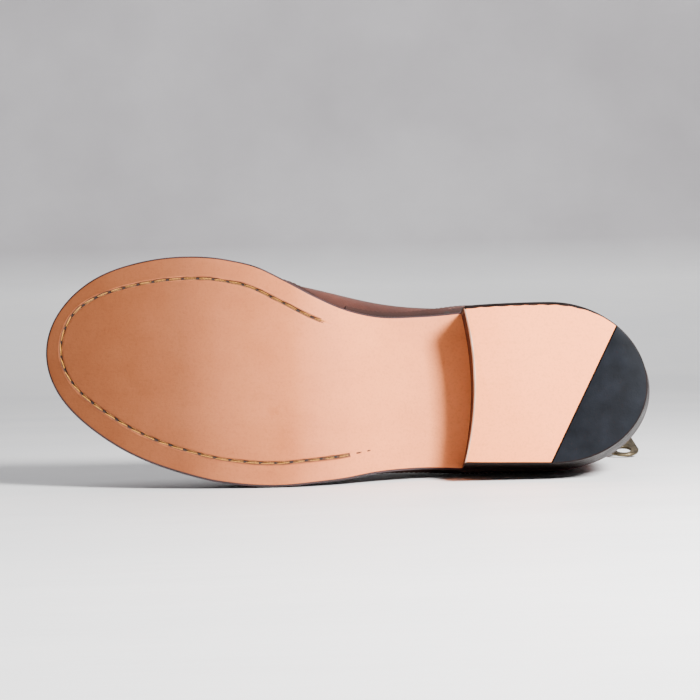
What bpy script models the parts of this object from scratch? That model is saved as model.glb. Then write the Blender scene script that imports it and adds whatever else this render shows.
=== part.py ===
"""A right brogue boot with a zip up the centre of its back, lying on its outer side.

The boot is modelled upright, in millimetres: x runs forward from the back of the heel seat, y towards
the inner (medial) side and z up from the floor that it would stand on. An empty then lays it down on
the points of its outer side that hold it steady.
"""

import math

import bmesh
import bpy
import numpy as np
from mathutils import Matrix, Vector

MM = 0.001

# Sizes of the sole, in millimetres.
SOLE_LENGTH = 285.0
BALL_WIDTH = 104.0
TOE_ROUND = 86.0
HEEL_ROUND = 47.0
OUTSOLE = 5.0
SOLE_EDGE_BEVEL = 0.7
WELT = 2.5
WELT_REACH = 10.0
INSOLE = 3.2
TOE_SPRING = 10.7
SHANK_SHARE = 0.315
BALL_FLAT_START_SHARE = 0.597
BALL_FLAT_END_SHARE = 0.712

# Sizes of the heel.
HEEL_HEIGHT = 25.0
TOP_PIECE = 6.0
HEEL_LENGTH = 89.7
BREAST_HOLLOW = 4.6
HEEL_BACK_PITCH = 5.0
HEEL_SIDE_TAPER = 0.045
RUBBER_LINE_INNER = (18.9, 27.8)
RUBBER_LINE_OUTER = (49.3, -34.6)

# Sizes of the upper.
WALL = 2.0
SHAFT_RISE = 112.2
INSTEP_RISE = 57.2
MARGIN_TOE = 3.6
MARGIN_HEEL = 1.8
OVERLAY = 1.2
OVERLAY_LIFT = 0.5

# Sizes of the zip.
SLIT_WIDTH = 22.0
SLIT_BOTTOM_RING = 3.0
FACING_WIDTH = 11.0
TAPE = 0.8
TAPE_TUCK = 4.0
TEETH_WIDTH = 7.0
TEETH_HEIGHT = 2.4
TEETH_GROOVE = 0.6
TEETH_PITCH = 3.0
SLIDER_WIDTH = 13.6
SLIDER_LENGTH = 20.0
SLIDER_PLATE = 1.6
BRIDGE_WIDTH = 4.6
BRIDGE_LENGTH = 19.0
BRIDGE_STRAP = 1.4
BRIDGE_RISE = 6.3
BAIL_WIRE = 1.6
BAIL_TOP = 14.6
BAIL_FOOT = 8.0
BAIL_LENGTH = 25.0
BAIL_CORNER = 2.2
BAIL_FOOT_CORNER = 0.9
TAB_LENGTH = 26.0
TAB_TOP_WIDTH = 10.4
TAB_WIDTH = 16.0
TAB_PLATE = 1.5
TAB_BARREL = 4.0
TAB_LEAN_DEG = 64.5
TAB_HOLE = (7.6, 6.4)

# Clearances between pieces that meet.
GAP = 0.3
SOLE_GAP = 0.45
BOARD_GAP = 1.0

# How finely the curved pieces are divided.
FRONT_STEPS = 60
BACK_STEPS = 4
ROWS_PER_RING = (3, 3, 4, 4, 3, 4)
COLUMN_SPARE = 0.25 * 2 * math.pi / FRONT_STEPS

# Plan of the outsole. along: share of SOLE_LENGTH. centre and half: shares of BALL_WIDTH, the middle of
# the sole left or right of the heel's axis and half the width there, before the two ends are rounded.
PLAN_COLUMNS = ("along", "centre", "half")
PLAN = (
    (0.000, 0.000, 0.368),
    (0.210, 0.004, 0.370),
    (0.298, -0.002, 0.364),
    (0.384, -0.014, 0.350),
    (0.459, -0.031, 0.356),
    (0.506, -0.034, 0.381),
    (0.557, -0.017, 0.418),
    (0.606, 0.011, 0.460),
    (0.654, 0.043, 0.491),
    (0.702, 0.065, 0.500),
    (0.775, 0.095, 0.500),
    (0.849, 0.120, 0.500),
    (0.923, 0.146, 0.500),
    (1.000, 0.159, 0.500),
)

# Rings of the upper above its lasted edge. back_x and front_x: shares of SOLE_LENGTH. back_rise and
# shaft: shares of SHAFT_RISE, instep: share of INSTEP_RISE, all above the lasted edge. follow: how far
# the ring dips with the sole. back_y and front_y: shares of BALL_WIDTH. The ten widths that follow are
# fullnesses, shares of BALL_WIDTH, at the stations of WIDTH_STATIONS on the inner and the outer side.
RING_COLUMNS = ("back_x", "back_rise", "front_x", "instep", "shaft", "follow", "back_y", "front_y")
WIDTH_STATIONS = (0.10, 0.27, 0.45, 0.68, 0.90)
RINGS = (
    ((0.0020, 0.100, 0.991, 0.177, 0.000, 1.0, 0.000, 0.159),
     (0.536, 0.398, 0.332, 0.436, 0.560), (0.560, 0.447, 0.446, 0.557, 0.583)),
    ((0.0035, 0.207, 0.972, 0.372, 0.000, 0.9, 0.000, 0.154),
     (0.519, 0.395, 0.329, 0.403, 0.483), (0.540, 0.425, 0.430, 0.519, 0.512)),
    ((0.0105, 0.296, 0.835, 0.680, 0.000, 0.6, 0.002, 0.106),
     (0.503, 0.395, 0.334, 0.318, 0.306), (0.500, 0.385, 0.385, 0.385, 0.335)),
    ((0.0228, 0.4385, 0.6105, 1.00, 0.000, 0.2, 0.014, 0.058),
     (0.464, 0.391, 0.350, 0.314, 0.260), (0.460, 0.352, 0.340, 0.331, 0.274)),
    ((0.0333, 0.652, 0.4350, 0.60, 0.368, 0.0, 0.0385, 0.053),
     (0.406, 0.3635, 0.346, 0.325, 0.274), (0.404, 0.345, 0.322, 0.310, 0.2865)),
    ((0.0298, 1.000, 0.3754, 0.000, 0.998, 0.0, 0.075, 0.077),
     (0.317, 0.308, 0.296, 0.288, 0.279), (0.317, 0.306, 0.288, 0.280, 0.279)),
)

# Upper edges of the overlays. turn: degrees round the boot from the middle of the back, the same on
# both sides. ring: how high the edge runs, counted in rings from the lasted edge.
EDGE_COLUMNS = ("turn", "ring")
WING_EDGE = ((92.0, 0.10), (104.0, 0.90), (118.0, 1.70), (134.0, 2.25), (148.0, 2.55), (160.0, 2.72),
             (170.0, 3.00), (180.0, 3.42))
COUNTER_EDGE = ((0.0, 2.70), (22.0, 2.66), (40.0, 2.48), (55.0, 1.95), (66.0, 1.10), (76.0, 0.58),
                (91.0, 0.40))
OVERLAY_FOOT_RING = 0.03
EDGE_SPARE = 0.06
BAND_RINGS = (5.24, 5.62)

# Surface colours (linear RGB), roughness and metallic value of each material.
MATERIALS = {
    "sole_leather": ((0.75, 0.42, 0.26), 0.55, 0.0),
    "heel_leather": ((0.060, 0.026, 0.020), 0.30, 0.0),
    "upper_leather": ((0.115, 0.034, 0.022), 0.34, 0.0),
    "rubber": ((0.030, 0.035, 0.044), 0.62, 0.0),
    "zip_fabric": ((0.020, 0.014, 0.011), 0.90, 0.0),
    "antique_brass": ((0.160, 0.125, 0.065), 0.38, 1.0),
}

# Rough weights of each material in kilograms per cubic metre, for the centre of mass.
WEIGHTS = {
    "sole_leather": 900.0,
    "heel_leather": 900.0,
    "upper_leather": 900.0,
    "rubber": 1200.0,
    "zip_fabric": 600.0,
    "antique_brass": 8000.0,
}


def hermite(knots, values, at):
    """A smooth curve through the values at the knots, read at each place in at, level past the ends."""
    knots = np.asarray(knots, float)
    values = np.asarray(values, float)
    at = np.clip(np.asarray(at, float), knots[0], knots[-1])
    slopes = np.gradient(values, knots, axis=0)
    index = np.clip(np.searchsorted(knots, at, side="right") - 1, 0, len(knots) - 2)
    span = knots[index + 1] - knots[index]
    t = (at - knots[index]) / span
    h00 = 2 * t**3 - 3 * t**2 + 1
    h10 = t**3 - 2 * t**2 + t
    h01 = -2 * t**3 + 3 * t**2
    h11 = t**3 - t**2
    return (h00 * values[index] + h10 * span * slopes[index]
            + h01 * values[index + 1] + h11 * span * slopes[index + 1])


def smoothstep(value):
    value = np.clip(value, 0.0, 1.0)
    return value * value * (3 - 2 * value)


# The sole's plan and its profile.


def sole_bottom(x):
    """Height of the outsole's underside: level on the heel, down the shank, flat ball, toe spring."""
    x = np.asarray(x, float)
    shank = smoothstep((x / SOLE_LENGTH - SHANK_SHARE) / (BALL_FLAT_START_SHARE - SHANK_SHARE))
    toe = np.clip((x / SOLE_LENGTH - BALL_FLAT_END_SHARE) / (1 - BALL_FLAT_END_SHARE), 0, None)
    return HEEL_HEIGHT * (1 - shank) + TOE_SPRING * toe**2


def lasted_edge(x):
    """Height of the upper's lower edge, on top of the welt."""
    return sole_bottom(x) + OUTSOLE + SOLE_GAP + WELT + SOLE_GAP


def plan_point(turn):
    """Point of the outsole's outline at a turn in radians: 0 at the back, inner side first."""
    along = (1 - np.cos(turn)) / 2
    table = np.array(PLAN)
    centre = hermite(table[:, 0], table[:, 1], along) * BALL_WIDTH
    half = hermite(table[:, 0], table[:, 2], along) * BALL_WIDTH
    x = along * SOLE_LENGTH
    from_toe = np.clip(1 - (SOLE_LENGTH - x) / TOE_ROUND, 0, 1)
    from_heel = np.clip(1 - x / HEEL_ROUND, 0, 1)
    half = half * np.sqrt(1 - from_toe**2) * np.sqrt(1 - from_heel**2)
    return np.stack([x, centre + np.sign(np.sin(turn)) * half], axis=-1)


def plan_inset(turn, inset):
    """The outline moved inwards by inset."""
    step = 1e-3
    along = plan_point(turn + step) - plan_point(turn - step)
    along /= np.linalg.norm(along, axis=-1, keepdims=True)
    inwards = np.stack([along[..., 1], -along[..., 0]], axis=-1)
    return plan_point(turn) + inwards * np.asarray(inset, float)[..., None]


def upper_margin(turn):
    """How far the upper's lower edge stays inside the outline."""
    along = (1 - np.cos(turn)) / 2
    blend = smoothstep((along - 0.35) / 0.25)
    return MARGIN_HEEL + (MARGIN_TOE - MARGIN_HEEL) * blend


# The upper's surface.


def ring_point(ring, turn):
    """Point of one ring of the upper, the lasted edge being ring 0."""
    turn = np.asarray(turn, float)
    if ring == 0:
        flat = plan_inset(turn, upper_margin(turn))
        return np.concatenate([flat, lasted_edge(flat[..., :1])], axis=-1)
    ends, inner, outer = RINGS[ring - 1]
    row = dict(zip(RING_COLUMNS, ends))
    back_x = row["back_x"] * SOLE_LENGTH
    front_x = row["front_x"] * SOLE_LENGTH
    back_z = lasted_edge(back_x) + row["back_rise"] * SHAFT_RISE
    front_z = lasted_edge(front_x) + row["instep"] * INSTEP_RISE + row["shaft"] * SHAFT_RISE
    share = (1 - np.cos(turn)) / 2
    x = back_x + (front_x - back_x) * share
    chord = lasted_edge(back_x) + (lasted_edge(front_x) - lasted_edge(back_x)) * share
    z = back_z + (front_z - back_z) * share + row["follow"] * (lasted_edge(x) - chord)
    stations = np.arccos(1 - 2 * np.array(WIDTH_STATIONS))
    lean = np.arccos(np.clip(np.cos(turn), -1, 1))
    full = np.where(np.sin(turn) >= 0, hermite(stations, inner, lean), hermite(stations, outer, lean))
    base = row["back_y"] + (row["front_y"] - row["back_y"]) * share
    y = (base + np.sin(turn) * full) * BALL_WIDTH
    return np.stack([x, y, z], axis=-1)


def surface(turn, ring):
    """Outer face of the upper at turns in radians and ring heights from 0 to 6."""
    turn, ring = np.broadcast_arrays(np.asarray(turn, float), np.asarray(ring, float))
    points = np.stack([ring_point(k, turn) for k in range(len(RINGS) + 1)])
    slopes = np.gradient(points, axis=0)
    low = np.clip(np.floor(ring).astype(int), 0, len(RINGS) - 1)
    t = (ring - low)[..., None]
    grid = np.indices(turn.shape)
    here = (low, *grid)
    after = (low + 1, *grid)
    return ((2 * t**3 - 3 * t**2 + 1) * points[here] + (t**3 - 2 * t**2 + t) * slopes[here]
            + (-2 * t**3 + 3 * t**2) * points[after] + (t**3 - t**2) * slopes[after])


def surface_offset(turn, ring, out):
    """The surface moved outwards by out along its normal."""
    turn, ring = np.broadcast_arrays(np.asarray(turn, float), np.asarray(ring, float))
    step = 0.01
    low = np.clip(ring - step, 0, len(RINGS))
    high = np.clip(ring + step, 0, len(RINGS))
    across = surface(turn + step, ring) - surface(turn - step, ring)
    upwards = surface(turn, high) - surface(turn, low)
    normal = np.cross(upwards, across)
    normal /= np.linalg.norm(normal, axis=-1, keepdims=True)
    return surface(turn, ring) + normal * np.asarray(out, float)[..., None]


def back_turn(ring, half_width):
    """Turn at which the surface is half_width from the middle line of the back."""
    ring = np.asarray(ring, float)
    turn = np.full(ring.shape, 0.2)
    for _ in range(12):
        reach = (surface(turn, ring)[..., 1] - surface(-turn, ring)[..., 1]) / 2
        turn = turn * half_width / reach
    return turn


def slit_turn(ring):
    """Turn of the slit's edge. Below the slit it stays as it is at the slit's foot."""
    return back_turn(np.maximum(ring, SLIT_BOTTOM_RING), SLIT_WIDTH / 2)


def column_turns(ring):
    """Turns of the upper's columns at one ring height: round the front, then across the back."""
    start = float(slit_turn(np.array(float(ring))))
    front = np.linspace(start, 2 * math.pi - start, FRONT_STEPS + 1)
    back = 2 * math.pi + np.linspace(-start, start, BACK_STEPS + 1)[1:-1]
    return np.concatenate([front, back])


def sole_turns():
    """The same columns for the sole, starting from the middle of the back."""
    return np.sort(column_turns(0.0) % (2 * math.pi))


# Making objects.


def material(name):
    if name in bpy.data.materials:
        return bpy.data.materials[name]
    colour, roughness, metallic = MATERIALS[name]
    made = bpy.data.materials.new(name)
    made.use_nodes = True
    shader = made.node_tree.nodes["Principled BSDF"]
    shader.inputs["Base Color"].default_value = (*colour, 1.0)
    shader.inputs["Roughness"].default_value = roughness
    shader.inputs["Metallic"].default_value = metallic
    made.diffuse_color = (*colour, 1.0)
    return made


def place(obj, material_name, parent, sharp_deg=35.0):
    if obj.type == "MESH":
        obj.data.shade_smooth()
        obj.data.set_sharp_from_angle(angle=math.radians(sharp_deg))
    obj.data.materials.clear()
    obj.data.materials.append(material(material_name))
    bpy.context.scene.collection.objects.link(obj)
    obj.parent = parent
    return obj


def mesh_object(name, points, faces, material_name, parent):
    """A closed mesh from points in millimetres and faces of any number of corners."""
    mesh = bmesh.new()
    corners = [mesh.verts.new(Vector(point) * MM) for point in points]
    for face in faces:
        mesh.faces.new([corners[index] for index in face])
    bmesh.ops.recalc_face_normals(mesh, faces=mesh.faces)
    if mesh.calc_volume(signed=True) < 0:
        bmesh.ops.reverse_faces(mesh, faces=mesh.faces)
    data = bpy.data.meshes.new(name)
    mesh.to_mesh(data)
    mesh.free()
    return place(bpy.data.objects.new(name, data), material_name, parent)


def stack_faces(rings, count, loop=False):
    """Quads between rings of count points each, joined in order, the last to the first in a loop."""
    faces = []
    for ring in range(rings if loop else rings - 1):
        low = ring * count
        high = (ring + 1) % rings * count
        for i in range(count):
            j = (i + 1) % count
            faces.append((low + i, low + j, high + j, high + i))
    return faces


def strip_caps(first, count):
    """Faces across a ring whose points mirror each other about the first and the middle one."""
    half = count // 2
    faces = [(first, first + 1, first + count - 1), (first + half - 1, first + half, first + half + 1)]
    for i in range(1, half - 1):
        faces.append((first + i, first + i + 1, first + count - i - 1, first + count - i))
    return faces


def sole_plate(name, profile, material_name, parent, loop=False):
    """A layer that follows the sole. profile: pairs of inset and height above the outsole's underside."""
    turns = sole_turns()
    points = []
    for inset, height in profile:
        flat = plan_inset(turns, np.broadcast_to(inset, turns.shape))
        z = sole_bottom(flat[:, 0]) + height
        points.extend(np.column_stack([flat, z]))
    count = len(turns)
    faces = stack_faces(len(profile), count, loop)
    if not loop:
        faces += strip_caps(0, count)
        faces += strip_caps((len(profile) - 1) * count, count)
    return mesh_object(name, points, faces, material_name, parent)


def skin(name, turns, rings, low_out, high_out, material_name, parent):
    """A closed sheet over the upper: grids of turns and rings, between two offsets from its face.

    Rows that repeat a column's ring height share its corner. The foot stays clear of the welt.
    """
    rows, columns = turns.shape
    high_out = np.broadcast_to(high_out, turns.shape)
    low_out = np.broadcast_to(low_out, turns.shape)
    number = np.empty(turns.shape, int)
    kept = []
    for j in range(columns):
        for i in range(rows):
            if i == 0 or rings[i, j] != rings[i - 1, j]:
                kept.append((i, j))
            number[i, j] = len(kept) - 1
    pick = tuple(np.array(kept).T)
    size = len(kept)
    outer = surface_offset(turns[pick], rings[pick], high_out[pick])
    inner = surface_offset(turns[pick], rings[pick], low_out[pick])
    for side in (outer, inner):
        side[:, 2] = np.maximum(side[:, 2], lasted_edge(side[:, 0]) + GAP)
    sheet = []
    for i in range(rows - 1):
        for j in range(columns - 1):
            corners = (number[i, j], number[i, j + 1], number[i + 1, j + 1], number[i + 1, j])
            corners = tuple(dict.fromkeys(int(corner) for corner in corners))
            if len(corners) > 2:
                sheet.append(corners)
    edges = {(face[k - 1], face[k]) for face in sheet for k in range(len(face))}
    faces = sheet + [tuple(corner + size for corner in face) for face in sheet]
    for a, b in sorted(edges):
        if (b, a) not in edges:
            faces.append((a, b, b + size, a + size))
    return mesh_object(name, np.concatenate([outer, inner]), faces, material_name, parent)


# The sole and the heel.


def make_outsole(parent):
    bevel = SOLE_EDGE_BEVEL
    profile = ((bevel, 0.0), (0.0, bevel), (0.0, OUTSOLE - bevel), (bevel, OUTSOLE))
    return sole_plate("outsole", profile, "sole_leather", parent)


def make_welt(parent):
    low = OUTSOLE + SOLE_GAP
    high = low + WELT
    edge = 0.5
    profile = ((WELT_REACH, low), (edge, low), (edge, high), (WELT_REACH, high))
    return sole_plate("welt", profile, "upper_leather", parent, loop=True)


def make_insole(parent):
    turns = sole_turns()
    inside = upper_margin(turns) + WALL + BOARD_GAP
    filler = WELT_REACH + GAP
    low = OUTSOLE + 2 * GAP
    seat = OUTSOLE + SOLE_GAP + WELT + SOLE_GAP
    profile = ((filler, low), (filler, seat), (inside, seat), (inside, seat + INSOLE))
    return sole_plate("insole", profile, "sole_leather", parent)


def heel_outline(level):
    """Outline of the heel at a level from 0, the tread, to 1, the seat: round the back, then the breast."""
    corner = math.acos(1 - 2 * HEEL_LENGTH / SOLE_LENGTH)
    side = plan_inset(np.linspace(-corner, corner, 33), np.full(33, GAP))
    pitch = HEEL_BACK_PITCH * (1 - level)
    side[:, 0] += pitch * (1 - side[:, 0] / HEEL_LENGTH)
    side[:, 1] *= np.where(side[:, 1] < 0, 1 - HEEL_SIDE_TAPER * (1 - level), 1)
    inner_corner = side[-1]
    outer_corner = side[0]
    share = np.linspace(0, 1, 11)[1:-1]
    breast = inner_corner + (outer_corner - inner_corner) * share[:, None]
    breast[:, 0] -= BREAST_HOLLOW * 4 * share * (1 - share)
    return np.concatenate([side, breast])


def heel_block(name, low, high, material_name, parent):
    """A slice of the heel between two heights."""
    points = []
    for z in (low, high):
        outline = heel_outline(z / HEEL_HEIGHT)
        points.extend(np.column_stack([outline, np.full(len(outline), z)]))
    count = len(points) // 2
    faces = stack_faces(2, count)
    faces.append(tuple(range(count)))
    faces.append(tuple(range(count, 2 * count)))
    return mesh_object(name, points, faces, material_name, parent)


def cut_block(obj, side):
    """Keeps the part of a heel slice on one side of the straight joint between leather and rubber."""
    start = Vector((*RUBBER_LINE_INNER, 0.0))
    end = Vector((*RUBBER_LINE_OUTER, 0.0))
    normal = (end - start).cross(Vector((0, 0, 1))).normalized() * side
    middle = (start + end) / 2 + normal * GAP / 2
    mesh = bmesh.new()
    mesh.from_mesh(obj.data)
    geometry = mesh.verts[:] + mesh.edges[:] + mesh.faces[:]
    cut = bmesh.ops.bisect_plane(
        mesh, geom=geometry, plane_co=middle * MM, plane_no=normal, clear_inner=True)
    edges = [item for item in cut["geom_cut"] if isinstance(item, bmesh.types.BMEdge)]
    bmesh.ops.contextual_create(mesh, geom=edges)
    bmesh.ops.recalc_face_normals(mesh, faces=mesh.faces)
    mesh.to_mesh(obj.data)
    mesh.free()
    obj.data.shade_smooth()
    obj.data.set_sharp_from_angle(angle=math.radians(35.0))
    return obj


def make_heel(parent):
    heel_block("heel_stack", TOP_PIECE, HEEL_HEIGHT - GAP, "heel_leather", parent)
    top = TOP_PIECE - GAP
    cut_block(heel_block("top_piece", 0.0, top, "sole_leather", parent), -1)
    cut_block(heel_block("top_piece_rubber", 0.0, top, "rubber", parent), 1)


# The upper and its overlays.


def ring_rows():
    """Ring heights of the rows of the upper's mesh."""
    rows = [0.0]
    for ring, steps in enumerate(ROWS_PER_RING):
        rows += [ring + step / steps for step in range(1, steps + 1)]
    return np.array(rows)


def make_upper(parent):
    """One hollow wall, open at the collar, underneath and along the zip."""
    rows = ring_rows()
    slit_row = int(np.argmin(np.abs(rows - SLIT_BOTTOM_RING)))
    turns = np.array([column_turns(row) for row in rows])
    columns = turns.shape[1]
    rings = np.broadcast_to(rows[:, None], turns.shape)
    outer = surface_offset(turns, rings, np.zeros(turns.shape))
    inner = surface_offset(turns, rings, np.full(turns.shape, -WALL))
    inner[0, :, 2] = lasted_edge(inner[0, :, 0])
    points = []
    number = {}
    for layer, grid in enumerate((outer, inner)):
        for i in range(len(rows)):
            last = columns if i <= slit_row else FRONT_STEPS + 1
            for j in range(last):
                number[layer, i, j] = len(points)
                points.append(grid[i, j])
    faces = []

    def quad(a, b, c, d):
        faces.append((number[a], number[b], number[c], number[d]))

    top = len(rows) - 1
    for i in range(top):
        for j in range(columns if i < slit_row else FRONT_STEPS):
            k = (j + 1) % columns
            quad((0, i, j), (0, i, k), (0, i + 1, k), (0, i + 1, j))
            quad((1, i, j), (1, i, k), (1, i + 1, k), (1, i + 1, j))
    for j in range(columns):
        k = (j + 1) % columns
        quad((0, 0, j), (0, 0, k), (1, 0, k), (1, 0, j))
    for j in range(FRONT_STEPS):
        quad((0, top, j), (0, top, j + 1), (1, top, j + 1), (1, top, j))
    for j in range(FRONT_STEPS, columns):
        k = (j + 1) % columns
        quad((0, slit_row, j), (0, slit_row, k), (1, slit_row, k), (1, slit_row, j))
    for i in range(slit_row, top):
        for j in (0, FRONT_STEPS):
            quad((0, i, j), (0, i + 1, j), (1, i + 1, j), (1, i, j))
    return mesh_object("upper", points, faces, "upper_leather", parent)


def turns_between(low, high):
    """The upper's own columns between two turns, with the two turns themselves as the ends."""
    columns = column_turns(0.0)
    columns = np.concatenate([columns - 2 * math.pi, columns])
    columns = np.unique(np.round(columns, 9))
    inside = columns[(columns > low + COLUMN_SPARE) & (columns < high - COLUMN_SPARE)]
    return np.concatenate([[low], inside, [high]])


def overlay(name, turns, edge, parent):
    """A leather overlay from the lasted edge up to a ring height for every turn, on the upper's rows."""
    rows = ring_rows()
    columns = []
    for top in edge:
        inside = rows[(rows > OVERLAY_FOOT_RING + EDGE_SPARE) & (rows < top - EDGE_SPARE)]
        columns.append([OVERLAY_FOOT_RING, *inside, top])
    most = max(len(column) for column in columns)
    rings = np.array([column + [column[-1]] * (most - len(column)) for column in columns]).T
    turns = np.broadcast_to(turns, rings.shape)
    low = OVERLAY_LIFT
    return skin(name, turns, rings, low, low + OVERLAY, "upper_leather", parent)


def edge_curve(table, turns):
    """Ring height of an overlay's edge at each turn, the same on both sides of the boot."""
    turn = np.degrees(np.arccos(np.clip(np.cos(turns), -1, 1)))
    table = np.array(table)
    return hermite(table[:, 0], table[:, 1], turn)


def make_overlays(parent):
    start = math.radians(WING_EDGE[0][0])
    turns = turns_between(start, 2 * math.pi - start)
    overlay("wing_tip", turns, edge_curve(WING_EDGE, turns), parent)

    end = math.radians(COUNTER_EDGE[-1][0])
    turns = turns_between(-end, end)
    overlay("heel_counter", turns, edge_curve(COUNTER_EDGE, turns), parent)

    rings = np.linspace(*BAND_RINGS, 3)
    start = back_turn(rings, SLIT_WIDTH / 2 + FACING_WIDTH + GAP)
    turns = np.array([column_turns(ring)[: FRONT_STEPS + 1] for ring in rings])
    first = int(np.searchsorted(turns.mean(axis=0), start.mean() + COLUMN_SPARE)) - 1
    turns = turns[:, first : FRONT_STEPS + 1 - first]
    turns[:, 0] = start
    turns[:, -1] = 2 * math.pi - start
    grid = np.broadcast_to(rings[:, None], turns.shape)
    skin("collar_band", turns, grid, OVERLAY_LIFT, OVERLAY_LIFT + OVERLAY, "upper_leather", parent)


def make_facings(parent):
    """Folded strips beside the zip, from the counter's top edge to the collar."""
    rings = np.linspace(SLIT_BOTTOM_RING, len(RINGS), 13)
    near = back_turn(rings, SLIT_WIDTH / 2)
    far = back_turn(rings, SLIT_WIDTH / 2 + FACING_WIDTH)
    share = np.linspace(0, 1, 4)
    turns = near[:, None] + (far - near)[:, None] * share
    grid = np.broadcast_to(rings[:, None], turns.shape)
    skin("zip_facing_medial", turns, grid, OVERLAY_LIFT, OVERLAY_LIFT + OVERLAY, "upper_leather", parent)
    skin("zip_facing_lateral", -turns, grid, OVERLAY_LIFT, OVERLAY_LIFT + OVERLAY, "upper_leather", parent)


# The zip.


def make_tape(parent):
    rings = np.linspace(SLIT_BOTTOM_RING - 0.12, len(RINGS) - 0.04, 12)
    half = back_turn(rings, SLIT_WIDTH / 2 + TAPE_TUCK)
    turns = half[:, None] * np.linspace(-1, 1, 7)
    grid = np.broadcast_to(rings[:, None], turns.shape)
    low = -(WALL + GAP + TAPE)
    skin("zip_tape", turns, grid, low, -(WALL + GAP), "zip_fabric", parent)


def back_length(low, high):
    """Length of the middle line of the back between two ring heights."""
    rings = np.linspace(low, high, 60)
    line = surface(np.zeros(60), rings)
    return float(np.linalg.norm(np.diff(line, axis=0), axis=1).sum())


def make_teeth(parent):
    """The closed chain: a ribbed bar down the middle of the tape, and its bottom stop."""
    low_ring = SLIT_BOTTOM_RING + 0.30
    high_ring = len(RINGS) - 0.06
    length = back_length(low_ring, high_ring)
    ribs = max(4, round(length / TEETH_PITCH))
    rings = []
    tops = []
    for rib in range(ribs):
        for place_in_rib, top in ((0.08, 0.0), (0.22, 1.0), (0.72, 1.0), (0.86, 0.0)):
            rings.append(low_ring + (high_ring - low_ring) * (rib + place_in_rib) / ribs)
            tops.append(top)
    rings = np.array(rings)
    half = back_turn(rings, TEETH_WIDTH / 2)
    turns = half[:, None] * np.array([-1.0, 1.0])
    grid = np.broadcast_to(rings[:, None], turns.shape)
    low = -WALL
    high = low + TEETH_HEIGHT - TEETH_GROOVE * (1 - np.array(tops))[:, None]
    skin("zip_teeth", turns, grid, low, high, "antique_brass", parent)

    rings = np.array([SLIT_BOTTOM_RING + 0.12, SLIT_BOTTOM_RING + 0.28])
    half = back_turn(rings, TEETH_WIDTH / 2)
    turns = half[:, None] * np.array([-1.0, -0.5, 0.5, 1.0])
    grid = np.broadcast_to(rings[:, None], turns.shape)
    high = low + TEETH_HEIGHT - np.array([0.8, 0.0, 0.0, 0.8])
    skin("zip_stop", turns, grid, low, high, "antique_brass", parent)


def slider_frame():
    """Axes of the slider, at the chain's outer face: out of the back, inwards across it, and up along it."""
    upper_end = surface(np.array(0.0), np.array(len(RINGS) - 0.06))
    total = back_length(5.0, len(RINGS) - 0.06)
    share = (SLIDER_LENGTH / 2 + GAP) / total
    ring = len(RINGS) - 0.06 - share * (1 - 0.06)
    centre = surface(np.array(0.0), np.array(ring))
    along = Vector(upper_end - centre).normalized()
    across = Vector((0, 1, 0))
    out = along.cross(across).normalized()
    if out.x > 0:
        out = -out
    across = along.cross(out).normalized()
    if across.y < 0:
        across = -across
    base = Vector(centre) + out * (TEETH_HEIGHT - WALL + GAP)
    return base, out, across, along


def framed(base, out, across, along, points):
    """Points given as out, across and along, in the boot's axes."""
    return [base + out * p[0] + across * p[1] + along * p[2] for p in points]


def extruded(outline, low, high):
    """Points and faces of a plate: outline pairs in the plane, and the two heights across it."""
    count = len(outline)
    points = [(a, low, b) for a, b in outline] + [(a, high, b) for a, b in outline]
    faces = stack_faces(2, count)
    faces.append(tuple(range(count)))
    faces.append(tuple(range(count, 2 * count)))
    return points, faces


def join_solids(name, pieces, cuts, material_name, parent):
    """One solid from pieces by exact Booleans, less the cuts. Each is a pair of points and faces."""
    whole = mesh_object(name, *pieces[0], material_name, parent)
    for kind, solids in (("UNION", pieces[1:]), ("DIFFERENCE", cuts)):
        for number, solid in enumerate(solids):
            other = mesh_object(f"{name}_{kind.lower()}_{number}", *solid, material_name, parent)
            other.hide_render = True
            other.display_type = "WIRE"
            step = whole.modifiers.new(f"{kind.lower()} {number}", "BOOLEAN")
            step.operation = kind
            step.object = other
            step.solver = "EXACT"
    return whole


def bridge_profile():
    """Side view of the bridge: a strap on two feet, as pairs of out and along."""
    half = BRIDGE_LENGTH / 2
    rise = SLIDER_PLATE + BRIDGE_RISE
    foot = SLIDER_PLATE - 0.4
    slope = 2.2
    outer = [(foot, -half), (rise - 1.2, -half), (rise, -half + slope)]
    outer += [(a, -b) for a, b in reversed(outer)]
    low = rise - BRIDGE_STRAP
    thick = BRIDGE_STRAP + 0.2
    inner = [(foot, half - thick), (low - 0.9, half - thick), (low, half - thick - 1.3)]
    inner += [(a, -b) for a, b in reversed(inner)]
    return outer + inner


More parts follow.
